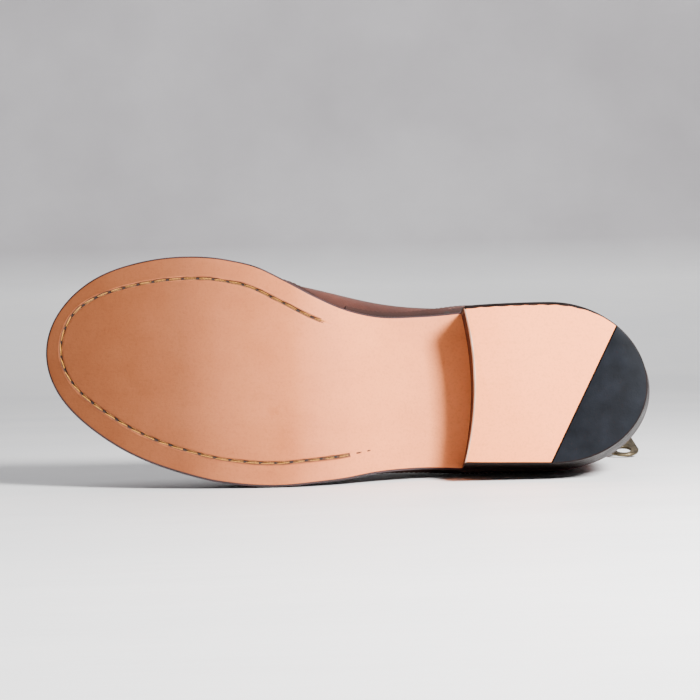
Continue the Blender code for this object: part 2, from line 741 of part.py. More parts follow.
def make_slider(frame, parent):
    base, out, across, along = frame
    half = SLIDER_WIDTH / 2
    end = SLIDER_LENGTH / 2
    plate = [(-half, end - 3.0), (-half + 3.0, end), (half - 3.0, end), (half, end - 3.0),
             (half * 0.86, -end + 2.5), (half * 0.5, -end), (-half * 0.5, -end), (-half * 0.86, -end + 2.5)]
    count = len(plate)
    points = [(0.0, a, b) for a, b in plate] + [(SLIDER_PLATE, a * 0.94, b * 0.97) for a, b in plate]
    faces = stack_faces(2, count) + [tuple(range(count)), tuple(range(count, 2 * count))]
    body = (framed(base, out, across, along, points), faces)
    points, faces = extruded(bridge_profile(), -BRIDGE_WIDTH / 2, BRIDGE_WIDTH / 2)
    bridge = (framed(base, out, across, along, points), faces)
    sides = []
    deep = TEETH_HEIGHT + GAP - 0.5
    for sign in (-1, 1):
        inside = sign * (TEETH_WIDTH / 2 + GAP)
        outside = sign * (TEETH_WIDTH / 2 + GAP + 1.6)
        corners = [(-deep, inside), (-deep, outside), (0.8, outside), (0.8, inside)]
        points = [(a, b, -end + 3.5) for a, b in corners] + [(a, b, end - 3.5) for a, b in corners]
        faces = stack_faces(2, 4) + [(0, 1, 2, 3), (4, 5, 6, 7)]
        sides.append((framed(base, out, across, along, points), faces))
    return join_solids("zip_slider", [body, bridge, *sides], [], "antique_brass", parent)


def bail_corners():
    """Corners of the bail's wire, as pairs of out from its hinge line and down from it.

    The wire clears the corners of the bridge's strap all the way round its swing.
    """
    reach = math.hypot(BRIDGE_WIDTH, BRIDGE_STRAP) / 2 + GAP + BAIL_WIRE / 2
    wide = (BAIL_TOP - BAIL_WIRE) / 2
    foot = (BAIL_FOOT - BAIL_WIRE) / 2
    top = -reach
    low = top + BAIL_LENGTH - BAIL_WIRE
    slope = (wide - foot) / (low - top)
    middle = wide - reach * math.hypot(1, slope) + slope * top
    return [(middle - wide, top), (middle + wide, top), (middle + foot, low), (middle - foot, low)]


def rounded(corners, radii, steps):
    """A closed outline with each corner rounded by an arc."""
    points = []
    for i, (corner, radius) in enumerate(zip(corners, radii)):
        here = Vector(corner)
        before = (Vector(corners[i - 1]) - here).normalized()
        after = (Vector(corners[(i + 1) % len(corners)]) - here).normalized()
        opening = before.angle(after)
        cut = radius / math.tan(opening / 2)
        first = here + before * cut
        last = here + after * cut
        centre = here + (before + after).normalized() * radius / math.sin(opening / 2)
        for step in range(steps + 1):
            direction = (first - centre).lerp(last - centre, step / steps).normalized()
            points.append(centre + direction * radius)
    return points


def make_bail(frame, parent):
    """The wire frame. Its origin is on its hinge line, the middle of the bridge's strap."""
    base, out, across, along = frame
    hinge = base + out * (SLIDER_PLATE + BRIDGE_RISE - BRIDGE_STRAP / 2)
    curve = bpy.data.curves.new("zip_bail", "CURVE")
    curve.dimensions = "3D"
    curve.bevel_depth = BAIL_WIRE / 2 * MM
    curve.bevel_resolution = 2
    radii = (BAIL_CORNER, BAIL_CORNER, BAIL_FOOT_CORNER, BAIL_FOOT_CORNER)
    route = rounded(bail_corners(), radii, 4)
    spline = curve.splines.new("POLY")
    spline.points.add(len(route) - 1)
    for point, (a, down) in zip(spline.points, route):
        point.co = (*((out * a - across * down) * MM), 1.0)
    spline.use_cyclic_u = True
    bail = bpy.data.objects.new("zip_bail", curve)
    bail.location = hinge * MM
    place(bail, "antique_brass", parent)
    return hinge


def tube(radius, half_length, sides=14):
    """A round bar along the first axis."""
    points = []
    for a in (-half_length, half_length):
        for i in range(sides):
            turn = 2 * math.pi * i / sides
            points.append((a, radius * math.cos(turn), radius * math.sin(turn)))
    return points, stack_faces(2, sides) + [tuple(range(sides)), tuple(range(sides, 2 * sides))]


def make_tab(frame, hinge, parent):
    """The pull tab: a barrel round the bail's foot and a plate that widens to a rounded end with a hole."""
    base, out, across, along = frame
    corners = bail_corners()
    foot = (Vector(corners[2]) + Vector(corners[3])) / 2
    pivot = hinge + out * foot[0] - across * foot[1]
    lean = math.radians(TAB_LEAN_DEG)
    down = (-across * math.cos(lean) - along * math.sin(lean)).normalized()
    normal = out.cross(down).normalized()
    inner = BAIL_WIRE / 2 + GAP
    outer = inner + TAB_PLATE
    half_end = TAB_WIDTH / 2
    round_steps = 9
    centre = TAB_LENGTH - half_end * 0.82
    neck = inner + 0.4
    shoulder = outer + 0.9
    plate = [(-TAB_TOP_WIDTH / 2, shoulder), (-TAB_BARREL / 2, neck)]
    plate += [(TAB_BARREL / 2, neck), (TAB_TOP_WIDTH / 2, shoulder)]
    for step in range(round_steps + 1):
        turn = math.pi * step / round_steps
        plate.append((half_end * math.cos(turn), centre + half_end * 0.82 * math.sin(turn)))
    points = [(a, b, -TAB_PLATE / 2) for a, b in plate] + [(a, b, TAB_PLATE / 2) for a, b in plate]
    count = len(plate)
    faces = stack_faces(2, count) + [tuple(range(count)), tuple(range(count, 2 * count))]

    def at(points):
        return [out * p[0] + down * p[1] + normal * p[2] for p in points]

    barrel = tube(outer, TAB_BARREL / 2)
    bore = tube(inner, TAB_BARREL)
    hole = []
    for z in (-TAB_PLATE, TAB_PLATE):
        for step in range(16):
            turn = 2 * math.pi * step / 16
            hole.append((TAB_HOLE[0] / 2 * math.cos(turn), centre + 1.0 + TAB_HOLE[1] / 2 * math.sin(turn), z))
    hole_faces = stack_faces(2, 16) + [tuple(range(16)), tuple(range(16, 32))]
    pieces = [(at(points), faces), (at(barrel[0]), barrel[1])]
    cuts = [(at(bore[0]), bore[1]), (at(hole), hole_faces)]
    pivot_empty = bpy.data.objects.new("zip_tab_pivot", None)
    bpy.context.scene.collection.objects.link(pivot_empty)
    pivot_empty.parent = parent
    pivot_empty.location = pivot * MM
    return join_solids("zip_tab", pieces, cuts, "antique_brass", pivot_empty)


# Laying the boot down.


def weighed(obj, graph):
    """Corner points, mass and centre of mass of an object in the boot's axes."""
    evaluated = obj.evaluated_get(graph)
    data = evaluated.to_mesh()
    data.calc_loop_triangles()
    points = np.empty(len(data.vertices) * 3)
    data.vertices.foreach_get("co", points)
    matrix = np.array(obj.matrix_world)
    points = points.reshape(-1, 3) @ matrix[:3, :3].T + matrix[:3, 3]
    corners = np.empty(len(data.loop_triangles) * 3, np.int32)
    data.loop_triangles.foreach_get("vertices", corners)
    triangles = points[corners.reshape(-1, 3)]
    evaluated.to_mesh_clear()
    volumes = np.linalg.det(triangles) / 6
    mass = volumes.sum() * WEIGHTS[obj.data.materials[0].name]
    centre = (triangles.sum(axis=1) / 4 * volumes[:, None]).sum(axis=0) / volumes.sum()
    return points, mass, centre


def resting_matrix(objects, hanging):
    """The placing that lays the boot on the face of its hull, on the outer side, that holds its centre.

    The hanging pieces have weight but don't carry the boot.
    """
    bpy.context.view_layer.update()
    graph = bpy.context.evaluated_depsgraph_get()
    parts = [weighed(obj, graph) for obj in objects]
    points = np.concatenate([part[0] for part, obj in zip(parts, objects) if obj.name not in hanging])
    everything = np.concatenate([part[0] for part in parts])
    masses = np.array([part[1] for part in parts])
    centre = (np.array([part[2] for part in parts]) * masses[:, None]).sum(axis=0) / masses.sum()
    hull = bmesh.new()
    for point in points:
        hull.verts.new(point)
    bmesh.ops.convex_hull(hull, input=hull.verts)
    bmesh.ops.triangulate(hull, faces=hull.faces)
    middle = Vector(centre)
    best = None
    for face in hull.faces:
        a, b, c = (vertex.co for vertex in face.verts)
        normal = (b - a).cross(c - a)
        if normal.length == 0:
            continue
        normal.normalize()
        if (a - middle).dot(normal) < 0:
            normal.negate()
        if -normal.y < 0.8:
            continue
        foot = middle + normal * (a - middle).dot(normal)
        sides = [(q - p).cross(foot - p).dot(normal) for p, q in ((a, b), (b, c), (c, a))]
        if min(sides) < 0 < max(sides):
            continue
        depth = (a - middle).dot(normal)
        if best is None or depth < best[0]:
            best = (depth, normal.copy())
    hull.free()
    down = best[1]
    base = Matrix(((-1, 0, 0), (0, 0, 1), (0, 1, 0)))
    turned = base @ down
    tilt = turned.rotation_difference(Vector((0, 0, -1))).to_matrix()
    matrix = tilt @ base
    placed = everything @ np.array(matrix).T
    low = placed.min(axis=0)
    high = placed.max(axis=0)
    origin = Vector(((low[0] + high[0]) / 2, (low[1] + high[1]) / 2, low[2]))
    return Matrix.Translation(-origin) @ matrix.to_4x4()


def main():
    for obj in list(bpy.data.objects):
        bpy.data.objects.remove(obj)
    boot = bpy.data.objects.new("boot", None)
    bpy.context.scene.collection.objects.link(boot)
    make_outsole(boot)
    make_welt(boot)
    make_insole(boot)
    make_heel(boot)
    make_upper(boot)
    make_overlays(boot)
    make_facings(boot)
    make_tape(boot)
    make_teeth(boot)
    frame = slider_frame()
    make_slider(frame, boot)
    hinge = make_bail(frame, boot)
    make_tab(frame, hinge, boot)
    shapes = [obj for obj in bpy.context.scene.objects if obj.type != "EMPTY" and not obj.hide_render]
    boot.matrix_world = resting_matrix(shapes, ("zip_bail", "zip_tab"))


main()
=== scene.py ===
"""The looks of the brogue boot: smooth leather, brogueing, seams, sole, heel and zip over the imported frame.

Shapes are worked out on the upright boot in millimetres, x forward from the heel seat, y to the inner
side and z up from its tread, and REST lays them down with the frame.
"""

import math
import random

import bmesh
import bpy
import numpy as np
from mathutils import Matrix, Vector
from mathutils.bvhtree import BVHTree


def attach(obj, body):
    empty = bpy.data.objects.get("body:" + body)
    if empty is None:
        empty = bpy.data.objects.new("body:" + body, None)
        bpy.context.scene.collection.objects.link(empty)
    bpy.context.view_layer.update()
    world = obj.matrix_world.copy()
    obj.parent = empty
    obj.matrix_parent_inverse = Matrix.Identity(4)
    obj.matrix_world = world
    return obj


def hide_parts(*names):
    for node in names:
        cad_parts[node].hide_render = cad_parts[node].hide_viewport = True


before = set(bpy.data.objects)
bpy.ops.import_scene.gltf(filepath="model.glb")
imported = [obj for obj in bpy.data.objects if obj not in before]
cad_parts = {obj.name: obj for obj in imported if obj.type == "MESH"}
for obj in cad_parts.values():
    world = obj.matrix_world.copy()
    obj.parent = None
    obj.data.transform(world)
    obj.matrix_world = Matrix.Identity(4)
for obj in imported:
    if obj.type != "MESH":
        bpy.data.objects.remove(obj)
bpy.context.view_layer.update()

REST = Matrix((
    (-0.999705, 0.024244, -0.001654, 0.13812),
    (0.001654, 0.135791, 0.990736, -0.071223),
    (0.024244, 0.990441, -0.135791, 0.042762),
    (0.0, 0.0, 0.0, 1.0),
))
MM = 0.001

# The boot's sizes and tables, in millimetres and shares, as in the solids. Only WELT and TOP_PIECE differ:
# they take up part of the gaps that the solids leave there.
SOLE_LENGTH = 285.0
BALL_WIDTH = 104.0
TOE_ROUND = 86.0
HEEL_ROUND = 47.0
OUTSOLE = 5.0
WELT = 3.2
EDGE_LIFT = 8.4
TOE_SPRING = 10.7
SHANK_SHARE = 0.315
BALL_FLAT_START_SHARE = 0.597
BALL_FLAT_END_SHARE = 0.712
HEEL_HEIGHT = 25.0
TOP_PIECE = 5.85
HEEL_LENGTH = 89.7
BREAST_HOLLOW = 4.6
HEEL_BACK_PITCH = 5.0
HEEL_SIDE_TAPER = 0.045
RUBBER_LINE_INNER = (18.9, 27.8)
RUBBER_LINE_OUTER = (49.3, -34.6)
WALL = 2.0
SHAFT_RISE = 112.2
INSTEP_RISE = 57.2
MARGIN_TOE = 3.6
MARGIN_HEEL = 1.8
OVERLAY_TOP = 1.7
SLIT_WIDTH = 22.0
FACING_WIDTH = 11.0
TEETH_WIDTH = 7.0
SLIDER_WIDTH = 13.6
SLIDER_LENGTH = 20.0
SLIDER_PLATE = 1.6
BRIDGE_WIDTH = 4.6
BRIDGE_LENGTH = 19.0
BRIDGE_STRAP = 1.4
BRIDGE_RISE = 6.3
BAIL_WIRE = 1.6
BAIL_TOP = 14.6
BAIL_FOOT = 8.0
BAIL_LENGTH = 25.0
BAIL_CORNER = 2.2
BAIL_FOOT_CORNER = 0.9
TAB_LENGTH = 26.0
TAB_TOP_WIDTH = 10.4
TAB_WIDTH = 16.0
TAB_PLATE = 1.5
TAB_BARREL = 4.0
TAB_LEAN_DEG = 64.5
PLAN = (
    (0.000, 0.000, 0.368),
    (0.210, 0.004, 0.370),
    (0.298, -0.002, 0.364),
    (0.384, -0.014, 0.350),
    (0.459, -0.031, 0.356),
    (0.506, -0.034, 0.381),
    (0.557, -0.017, 0.418),
    (0.606, 0.011, 0.460),
    (0.654, 0.043, 0.491),
    (0.702, 0.065, 0.500),
    (0.775, 0.095, 0.500),
    (0.849, 0.120, 0.500),
    (0.923, 0.146, 0.500),
    (1.000, 0.159, 0.500),
)
RING_COLUMNS = ("back_x", "back_rise", "front_x", "instep", "shaft", "follow", "back_y", "front_y")
WIDTH_STATIONS = (0.10, 0.27, 0.45, 0.68, 0.90)
RINGS = (
    ((0.0020, 0.100, 0.991, 0.177, 0.000, 1.0, 0.000, 0.159),
     (0.536, 0.398, 0.332, 0.436, 0.560), (0.560, 0.447, 0.446, 0.557, 0.583)),
    ((0.0035, 0.207, 0.972, 0.372, 0.000, 0.9, 0.000, 0.154),
     (0.519, 0.395, 0.329, 0.403, 0.483), (0.540, 0.425, 0.430, 0.519, 0.512)),
    ((0.0105, 0.296, 0.835, 0.680, 0.000, 0.6, 0.002, 0.106),
     (0.503, 0.395, 0.334, 0.318, 0.306), (0.500, 0.385, 0.385, 0.385, 0.335)),
    ((0.0228, 0.4385, 0.6105, 1.00, 0.000, 0.2, 0.014, 0.058),
     (0.464, 0.391, 0.350, 0.314, 0.260), (0.460, 0.352, 0.340, 0.331, 0.274)),
    ((0.0333, 0.652, 0.4350, 0.60, 0.368, 0.0, 0.0385, 0.053),
     (0.406, 0.3635, 0.346, 0.325, 0.274), (0.404, 0.345, 0.322, 0.310, 0.2865)),
    ((0.0298, 1.000, 0.3754, 0.000, 0.998, 0.0, 0.075, 0.077),
     (0.317, 0.308, 0.296, 0.288, 0.279), (0.317, 0.306, 0.288, 0.280, 0.279)),
)
WING_EDGE = ((92.0, 0.10), (104.0, 0.90), (118.0, 1.70), (134.0, 2.25), (148.0, 2.55), (160.0, 2.72),
             (170.0, 3.00), (180.0, 3.42))
COUNTER_EDGE = ((0.0, 2.70), (22.0, 2.66), (40.0, 2.48), (55.0, 1.95), (66.0, 1.10), (76.0, 0.58),
                (91.0, 0.40))
BAND_RINGS = (5.24, 5.62)

# The brogueing, stitching, and the band of edge dye and painted shade near the welt, in millimetres.
PINK_PITCH = 2.6
PINK_DEPTH = 0.9
HOLE_PITCH = 8.6
STITCH_PITCH = 2.3
SOLE_STITCH_PITCH = 7.0
# Height of the darker band near the welt, partly edge dye and partly painted shade.
DYE_AND_SHADE_HEIGHT = 9.0
CHANNEL_WIDTH = 1.5
CHANNEL_DEPTH = 0.7
# Turn round the sole in degrees, and the channel's distance from the edge.
CHANNEL_INSET = ((0.0, 9.6), (90.0, 9.6), (110.0, 10.2), (130.0, 10.6), (142.0, 9.7), (151.0, 8.0),
                 (160.0, 6.6), (170.0, 6.9), (185.0, 7.7), (200.0, 8.9), (215.0, 10.4), (240.0, 10.8),
                 (270.0, 10.9), (360.0, 10.9))
# Each crease's middle, slope, width and depth.
VAMP_CREASES = ((164, 0.10, 2.6, 0.55), (173, -0.06, 2.0, 0.75), (181, 0.05, 2.4, 0.8),
                (189, -0.10, 1.8, 0.5), (197, 0.12, 2.2, 0.4))
ANKLE_CREASES = ((74, -0.22, 2.6, 0.5), (83, -0.16, 2.2, 0.65), (93, -0.10, 3.0, 0.5),
                 (103, -0.03, 2.4, 0.3))
LAST_RING = len(RINGS)
SLIDER_RING = LAST_RING - 0.06
BREAST_POINTS = 38

random.seed(7)


def cubic(share, start, end, start_slope, end_slope):
    return ((2 * share**3 - 3 * share**2 + 1) * start + (share**3 - 2 * share**2 + share) * start_slope
            + (-2 * share**3 + 3 * share**2) * end + (share**3 - share**2) * end_slope)


def hermite(knots, values, at):
    knots = np.asarray(knots, float)
    values = np.asarray(values, float)
    at = np.clip(np.asarray(at, float), knots[0], knots[-1])
    slopes = np.gradient(values, knots, axis=0)
    index = np.clip(np.searchsorted(knots, at, side="right") - 1, 0, len(knots) - 2)
    span = knots[index + 1] - knots[index]
    return cubic((at - knots[index]) / span, values[index], values[index + 1],
                 span * slopes[index], span * slopes[index + 1])


def table_value(table, at):
    """The second column of a table at a value of its first."""
    table = np.array(table)
    return hermite(table[:, 0], table[:, 1], at)


def smoothstep(value):
    value = np.clip(value, 0.0, 1.0)
    return value * value * (3 - 2 * value)


def sole_bottom(x):
    x = np.asarray(x, float)
    shank = smoothstep((x / SOLE_LENGTH - SHANK_SHARE) / (BALL_FLAT_START_SHARE - SHANK_SHARE))
    toe = np.clip((x / SOLE_LENGTH - BALL_FLAT_END_SHARE) / (1 - BALL_FLAT_END_SHARE), 0, None)
    return HEEL_HEIGHT * (1 - shank) + TOE_SPRING * toe**2


def lasted_edge(x):
    return sole_bottom(x) + EDGE_LIFT


def plan_point(turn):
    along = (1 - np.cos(turn)) / 2
    table = np.array(PLAN)
    centre = hermite(table[:, 0], table[:, 1], along) * BALL_WIDTH
    half = hermite(table[:, 0], table[:, 2], along) * BALL_WIDTH
    x = along * SOLE_LENGTH
    from_toe = np.clip(1 - (SOLE_LENGTH - x) / TOE_ROUND, 0, 1)
    from_heel = np.clip(1 - x / HEEL_ROUND, 0, 1)
    half = half * np.sqrt(1 - from_toe**2) * np.sqrt(1 - from_heel**2)
    return np.stack([x, centre + np.sign(np.sin(turn)) * half], axis=-1)


def plan_inset(turn, inset):
    step = 1e-3
    along = plan_point(turn + step) - plan_point(turn - step)
    along /= np.linalg.norm(along, axis=-1, keepdims=True)
    inwards = np.stack([along[..., 1], -along[..., 0]], axis=-1)
    return plan_point(turn) + inwards * np.asarray(inset, float)[..., None]


def upper_margin(turn):
    along = (1 - np.cos(turn)) / 2
    return MARGIN_HEEL + (MARGIN_TOE - MARGIN_HEEL) * smoothstep((along - 0.35) / 0.25)


def ring_point(ring, turn):
    turn = np.asarray(turn, float)
    if ring == 0:
        flat = plan_inset(turn, upper_margin(turn))
        return np.concatenate([flat, lasted_edge(flat[..., :1])], axis=-1)
    ends, inner, outer = RINGS[ring - 1]
    row = dict(zip(RING_COLUMNS, ends))
    back_x = row["back_x"] * SOLE_LENGTH
    front_x = row["front_x"] * SOLE_LENGTH
    back_z = lasted_edge(back_x) + row["back_rise"] * SHAFT_RISE
    front_z = lasted_edge(front_x) + row["instep"] * INSTEP_RISE + row["shaft"] * SHAFT_RISE
    share = (1 - np.cos(turn)) / 2
    x = back_x + (front_x - back_x) * share
    chord = lasted_edge(back_x) + (lasted_edge(front_x) - lasted_edge(back_x)) * share
    z = back_z + (front_z - back_z) * share + row["follow"] * (lasted_edge(x) - chord)
    stations = np.arccos(1 - 2 * np.array(WIDTH_STATIONS))
    lean = np.arccos(np.clip(np.cos(turn), -1, 1))
    full = np.where(np.sin(turn) >= 0, hermite(stations, inner, lean), hermite(stations, outer, lean))
    base = row["back_y"] + (row["front_y"] - row["back_y"]) * share
    return np.stack([x, (base + np.sin(turn) * full) * BALL_WIDTH, z], axis=-1)


def surface(turn, ring):
    turn, ring = np.broadcast_arrays(np.asarray(turn, float), np.asarray(ring, float))
    points = np.stack([ring_point(k, turn) for k in range(LAST_RING + 1)])
    slopes = np.gradient(points, axis=0)
    low = np.clip(np.floor(ring).astype(int), 0, LAST_RING - 1)
    grid = np.indices(turn.shape)
    here = (low, *grid)
    after = (low + 1, *grid)
    return cubic((ring - low)[..., None], points[here], points[after], slopes[here], slopes[after])


def crease(wave, width, deep, ridge, ridge_at, ridge_width):
    """A furrow and the lower ridge beside it, outwards."""
    furrow = np.exp(-(wave / width) ** 2)
    return deep * (ridge * np.exp(-((wave - ridge_at * width) / (ridge_width * width)) ** 2) - furrow)


def relief(points):
    """Creases and swellings that the leather has, outwards."""
    x, y, z = points[..., 0], points[..., 1], points[..., 2]
    vamp = smoothstep((x - 140) / 20) * (1 - smoothstep((x - 214) / 16))
    vamp = vamp * smoothstep((z - 22 - sole_bottom(x)) / 18)
    ankle = smoothstep((z - 62) / 12) * (1 - smoothstep((z - 112) / 14)) * smoothstep((x - 30) / 30)
    out = 0.16 * np.sin(x * 0.071 + 1.3) * np.sin(y * 0.093) * np.sin(z * 0.083 + 0.4)
    for middle, slope, width, deep in VAMP_CREASES:
        wave = x - middle - slope * (y - 10) - 1.6 * np.sin(y * 0.11 + middle)
        out += vamp * crease(wave, width, deep, 0.35, 2.4, 1.3)
    for middle, slope, width, deep in ANKLE_CREASES:
        wave = z - middle - slope * (x - 95) - 1.2 * np.sin(x * 0.09 + y * 0.05 + middle)
        out += ankle * crease(wave, width, deep, 0.4, -2.6, 1.5)
    return out


def outside(turn, ring, out=OVERLAY_TOP, creases=1.0):
    """The upper's surface moved outwards along its normal, creases included."""
    turn, ring = np.broadcast_arrays(np.asarray(turn, float), np.asarray(ring, float))
    step = 0.01
    low = np.clip(ring - step, 0, LAST_RING)
    high = np.clip(ring + step, 0, LAST_RING)
    across = surface(turn + step, ring) - surface(turn - step, ring)
    upwards = surface(turn, high) - surface(turn, low)
    normal = np.cross(upwards, across)
    normal /= np.linalg.norm(normal, axis=-1, keepdims=True)
    points = surface(turn, ring)
    move = np.broadcast_to(np.asarray(out, float), turn.shape) + creases * relief(points)
    points = points + normal * move[..., None]
    points[..., 2] = np.maximum(points[..., 2], lasted_edge(points[..., 0]) - 0.2)
    return points


def back_turn(ring, half_width):
    ring = np.asarray(ring, float)
    turn = np.full(ring.shape, 0.2)
    for _ in range(12):
        reach = (surface(turn, ring)[..., 1] - surface(-turn, ring)[..., 1]) / 2
        turn = turn * half_width / reach
    return turn


# Materials.

SOCKETS = {"rough": "Roughness", "specular": "Specular IOR Level", "coat": "Coat Weight",
           "coat_rough": "Coat Roughness", "sheen": "Sheen Weight", "metallic": "Metallic"}


class Finish:
    """A material in the making, with short ways to add its nodes."""

    def __init__(self, name, **values):
        self.material = bpy.data.materials.new(name)
        self.material.use_nodes = True
        self.tree = self.material.node_tree
        self.shader = self.tree.nodes["Principled BSDF"]
        self.place = self.node("TexCoord").outputs["Object"]
        for socket, value in values.items():
            self.shader.inputs[SOCKETS[socket]].default_value = value

    def node(self, kind, inputs=None, **fields):
        """A node with its fields set, and each input set to a value or linked to an output."""
        made = self.tree.nodes.new("ShaderNode" + kind)
        for field, value in fields.items():
            setattr(made, field, value)
        for socket, value in (inputs or {}).items():
            if isinstance(value, bpy.types.NodeSocket):
                self.tree.links.new(value, made.inputs[socket])
            else:
                made.inputs[socket].default_value = value
        return made

    def feed(self, socket, value):
        self.tree.links.new(value, self.shader.inputs[socket])

    def noise(self, scale, detail=4.0, rough=0.55, stretch=None):
        place = self.place
        if stretch:
            place = self.node("Mapping", {"Scale": stretch, "Vector": place}).outputs["Vector"]
        inputs = {"Scale": scale, "Detail": detail, "Roughness": rough, "Vector": place}
        return self.node("TexNoise", inputs).outputs["Fac"]

    def cells(self, scale):
        return self.node("TexVoronoi", {"Scale": scale, "Vector": self.place}).outputs["Distance"]

    def wave(self, direction, scale, distortion=0.0):
        inputs = {"Scale": scale, "Distortion": distortion, "Vector": self.place}
        return self.node("TexWave", inputs, bands_direction=direction).outputs["Fac"]

    def ramp(self, value, *stops):
        """stops: pairs of a position and a colour, or one number for a grey."""
        made = self.node("ValToRGB", {"Fac": value})
        elements = made.color_ramp.elements
        while len(elements) < len(stops):
            elements.new(0.5)
        for element, (at, colour) in zip(elements, stops):
            element.position = at
            element.color = (*colour, 1.0) if isinstance(colour, tuple) else (colour, colour, colour, 1.0)
        return made.outputs["Color"]

    def mix(self, factor, first, second, mode="MULTIPLY"):
        inputs = {0: factor, 6: first, 7: second}
        return self.node("Mix", inputs, data_type="RGBA", blend_type=mode).outputs[2]

    def maths(self, operation, first, second):
        return self.node("Math", {0: first, 1: second}, operation=operation).outputs["Value"]

    def along(self, axis):
        return self.node("SeparateXYZ", {"Vector": self.place}).outputs[axis]

    def bump(self, *heights):
        """heights: pairs of a height value and its depth in metres, stacked."""
        inputs = {}
        for height, depth in heights:
            inputs.update({"Strength": 1.0, "Distance": depth, "Height": height})
            inputs["Normal"] = self.node("Bump", inputs).outputs["Normal"]
        self.feed("Normal", inputs["Normal"])
        return self.material


def leather(name, dark, middle, light, rough=0.40, coat=0.03):
    made = Finish(name, specular=0.22, coat=coat, coat_rough=0.22)
    colour = made.ramp(made.noise(26.0, 5.0, 0.6), (0.30, dark), (0.52, middle), (0.74, light))
    fine = made.ramp(made.noise(240.0, 3.0, 0.6), (0.35, 0.55), (0.65, 1.25))
    # Towards the welt the colour darkens, partly edge dye and partly painted shade, and the roughness rises.
    rise = made.node("Attribute", attribute_name="rise").outputs["Fac"]
    dye_and_shade = made.ramp(rise, (0.0, 0.14), (0.55, 0.55), (1.0, 1.0))
    made.feed("Base Color", made.mix(1.0, made.mix(0.30, colour, fine), dye_and_shade))
    gloss = made.ramp(made.noise(60.0), (0.3, rough - 0.08), (0.7, rough + 0.12))
    dull = made.ramp(rise, (0.0, 0.30), (1.0, 0.0))
    made.feed("Roughness", made.mix(1.0, gloss, dull, "ADD"))
    return made.bump((made.cells(1500.0), 0.00006), (made.noise(500.0, 3.0), 0.000084))


def sole_leather(name, dark, middle, light, toe_shade=1.0):
    """Natural leather with streaks, scars and pores, and painted shade that darkens it towards the toe where
    the last argument is below 1.
    """
    made = Finish(name, specular=0.25)
    cloud = made.noise(22.0, 6.0, 0.62)
    colour = made.ramp(cloud, (0.28, dark), (0.50, middle), (0.72, light))
    if toe_shade < 1.0:
        # Painted shade: the colour darkens towards the toe, in place of the light's falloff across the sole.
        from_toe = made.maths("MULTIPLY", made.maths("ADD", made.along("X"), 0.147), 1 / 0.145)
        toe_shade_ramp = made.ramp(from_toe, (0.0, toe_shade), (0.45, toe_shade * 0.5 + 0.20), (0.75, 0.66), (1.0, 1.0))
        colour = made.mix(1.0, colour, toe_shade_ramp)
    streak = made.noise(110.0, 5.0, 0.7, (0.35, 1.0, 2.0))
    colour = made.mix(0.5, colour, made.ramp(streak, (0.54, 1.0), (0.74, 0.86)))
    scars = made.ramp(made.noise(75.0, 7.0, 0.75), (0.62, 1.0), (0.69, (0.82, 0.74, 0.66)))
    colour = made.mix(0.55, colour, scars)
    pores = made.ramp(made.noise(900.0, 2.0, 0.5), (0.34, 0.86), (0.5, 1.0))
    made.feed("Base Color", made.mix(0.6, colour, pores))
    made.feed("Roughness", made.ramp(cloud, (0.3, 0.50), (0.7, 0.66)))
    return made.bump((streak, 0.00012), (made.noise(700.0, 3.0), 0.00006))


def edge_leather(name, dark, light, rough=0.3, coat=0.0, shine=0.5):
    made = Finish(name, specular=shine, coat=coat, coat_rough=0.16)
    cloud = made.noise(90.0, 5.0, 0.6)
    made.feed("Base Color", made.ramp(cloud, (0.35, dark), (0.7, light)))
    made.feed("Roughness", made.ramp(cloud, (0.3, rough), (0.7, rough + 0.18)))
    layers = made.noise(700.0, 3.0, 0.5, (0.12, 1.0, 0.12))
    return made.bump((layers, 0.00008), (made.noise(320.0, 3.0), 0.00007))


def thread(name, dark, light):
    made = Finish(name, rough=0.75, sheen=0.2)
    twist = made.noise(1600.0, 2.0)
    made.feed("Base Color", made.ramp(twist, (0.35, dark), (0.65, light)))
    return made.bump((twist, 0.00005))


def woven(name, dark, light):
    made = Finish(name, rough=0.9, sheen=0.3)
    weave = made.maths("MULTIPLY", made.wave("DIAGONAL", 420.0, 0.6), made.wave("Y", 330.0))
    made.feed("Base Color", made.ramp(weave, (0.0, dark), (0.7, light)))
    return made.bump((weave, 0.00015))


def brass(name):
    made = Finish(name, metallic=1.0)
    cloud = made.noise(190.0, 5.0, 0.6)
    made.feed("Base Color", made.ramp(cloud, (0.32, (0.045, 0.036, 0.024)), (0.55, (0.125, 0.098, 0.058)),
                                      (0.75, (0.27, 0.215, 0.125))))
    made.feed("Roughness", made.ramp(cloud, (0.3, 0.5), (0.7, 0.28)))
    return made.bump((made.noise(900.0, 3.0), 0.00004))


def rubber(name):
    made = Finish(name, rough=0.55, specular=0.07)
    made.feed("Base Color", made.ramp(made.noise(120.0), (0.3, (0.0026, 0.0033, 0.0050)),
                                      (0.7, (0.0062, 0.0076, 0.0110))))
    return made.bump((made.noise(1400.0, 2.0), 0.00005), (made.noise(60.0), 0.0002))


UPPER = leather("upper_leather", (0.036, 0.0100, 0.0066), (0.066, 0.0180, 0.0115), (0.102, 0.0290, 0.0185))
UPPER_CUT = edge_leather("upper_leather_cut_edge", (0.030, 0.012, 0.009), (0.075, 0.030, 0.020), 0.6)
LINING = leather("lining_leather", (0.30, 0.155, 0.075), (0.40, 0.22, 0.11), (0.48, 0.28, 0.15), 0.55, 0.0)
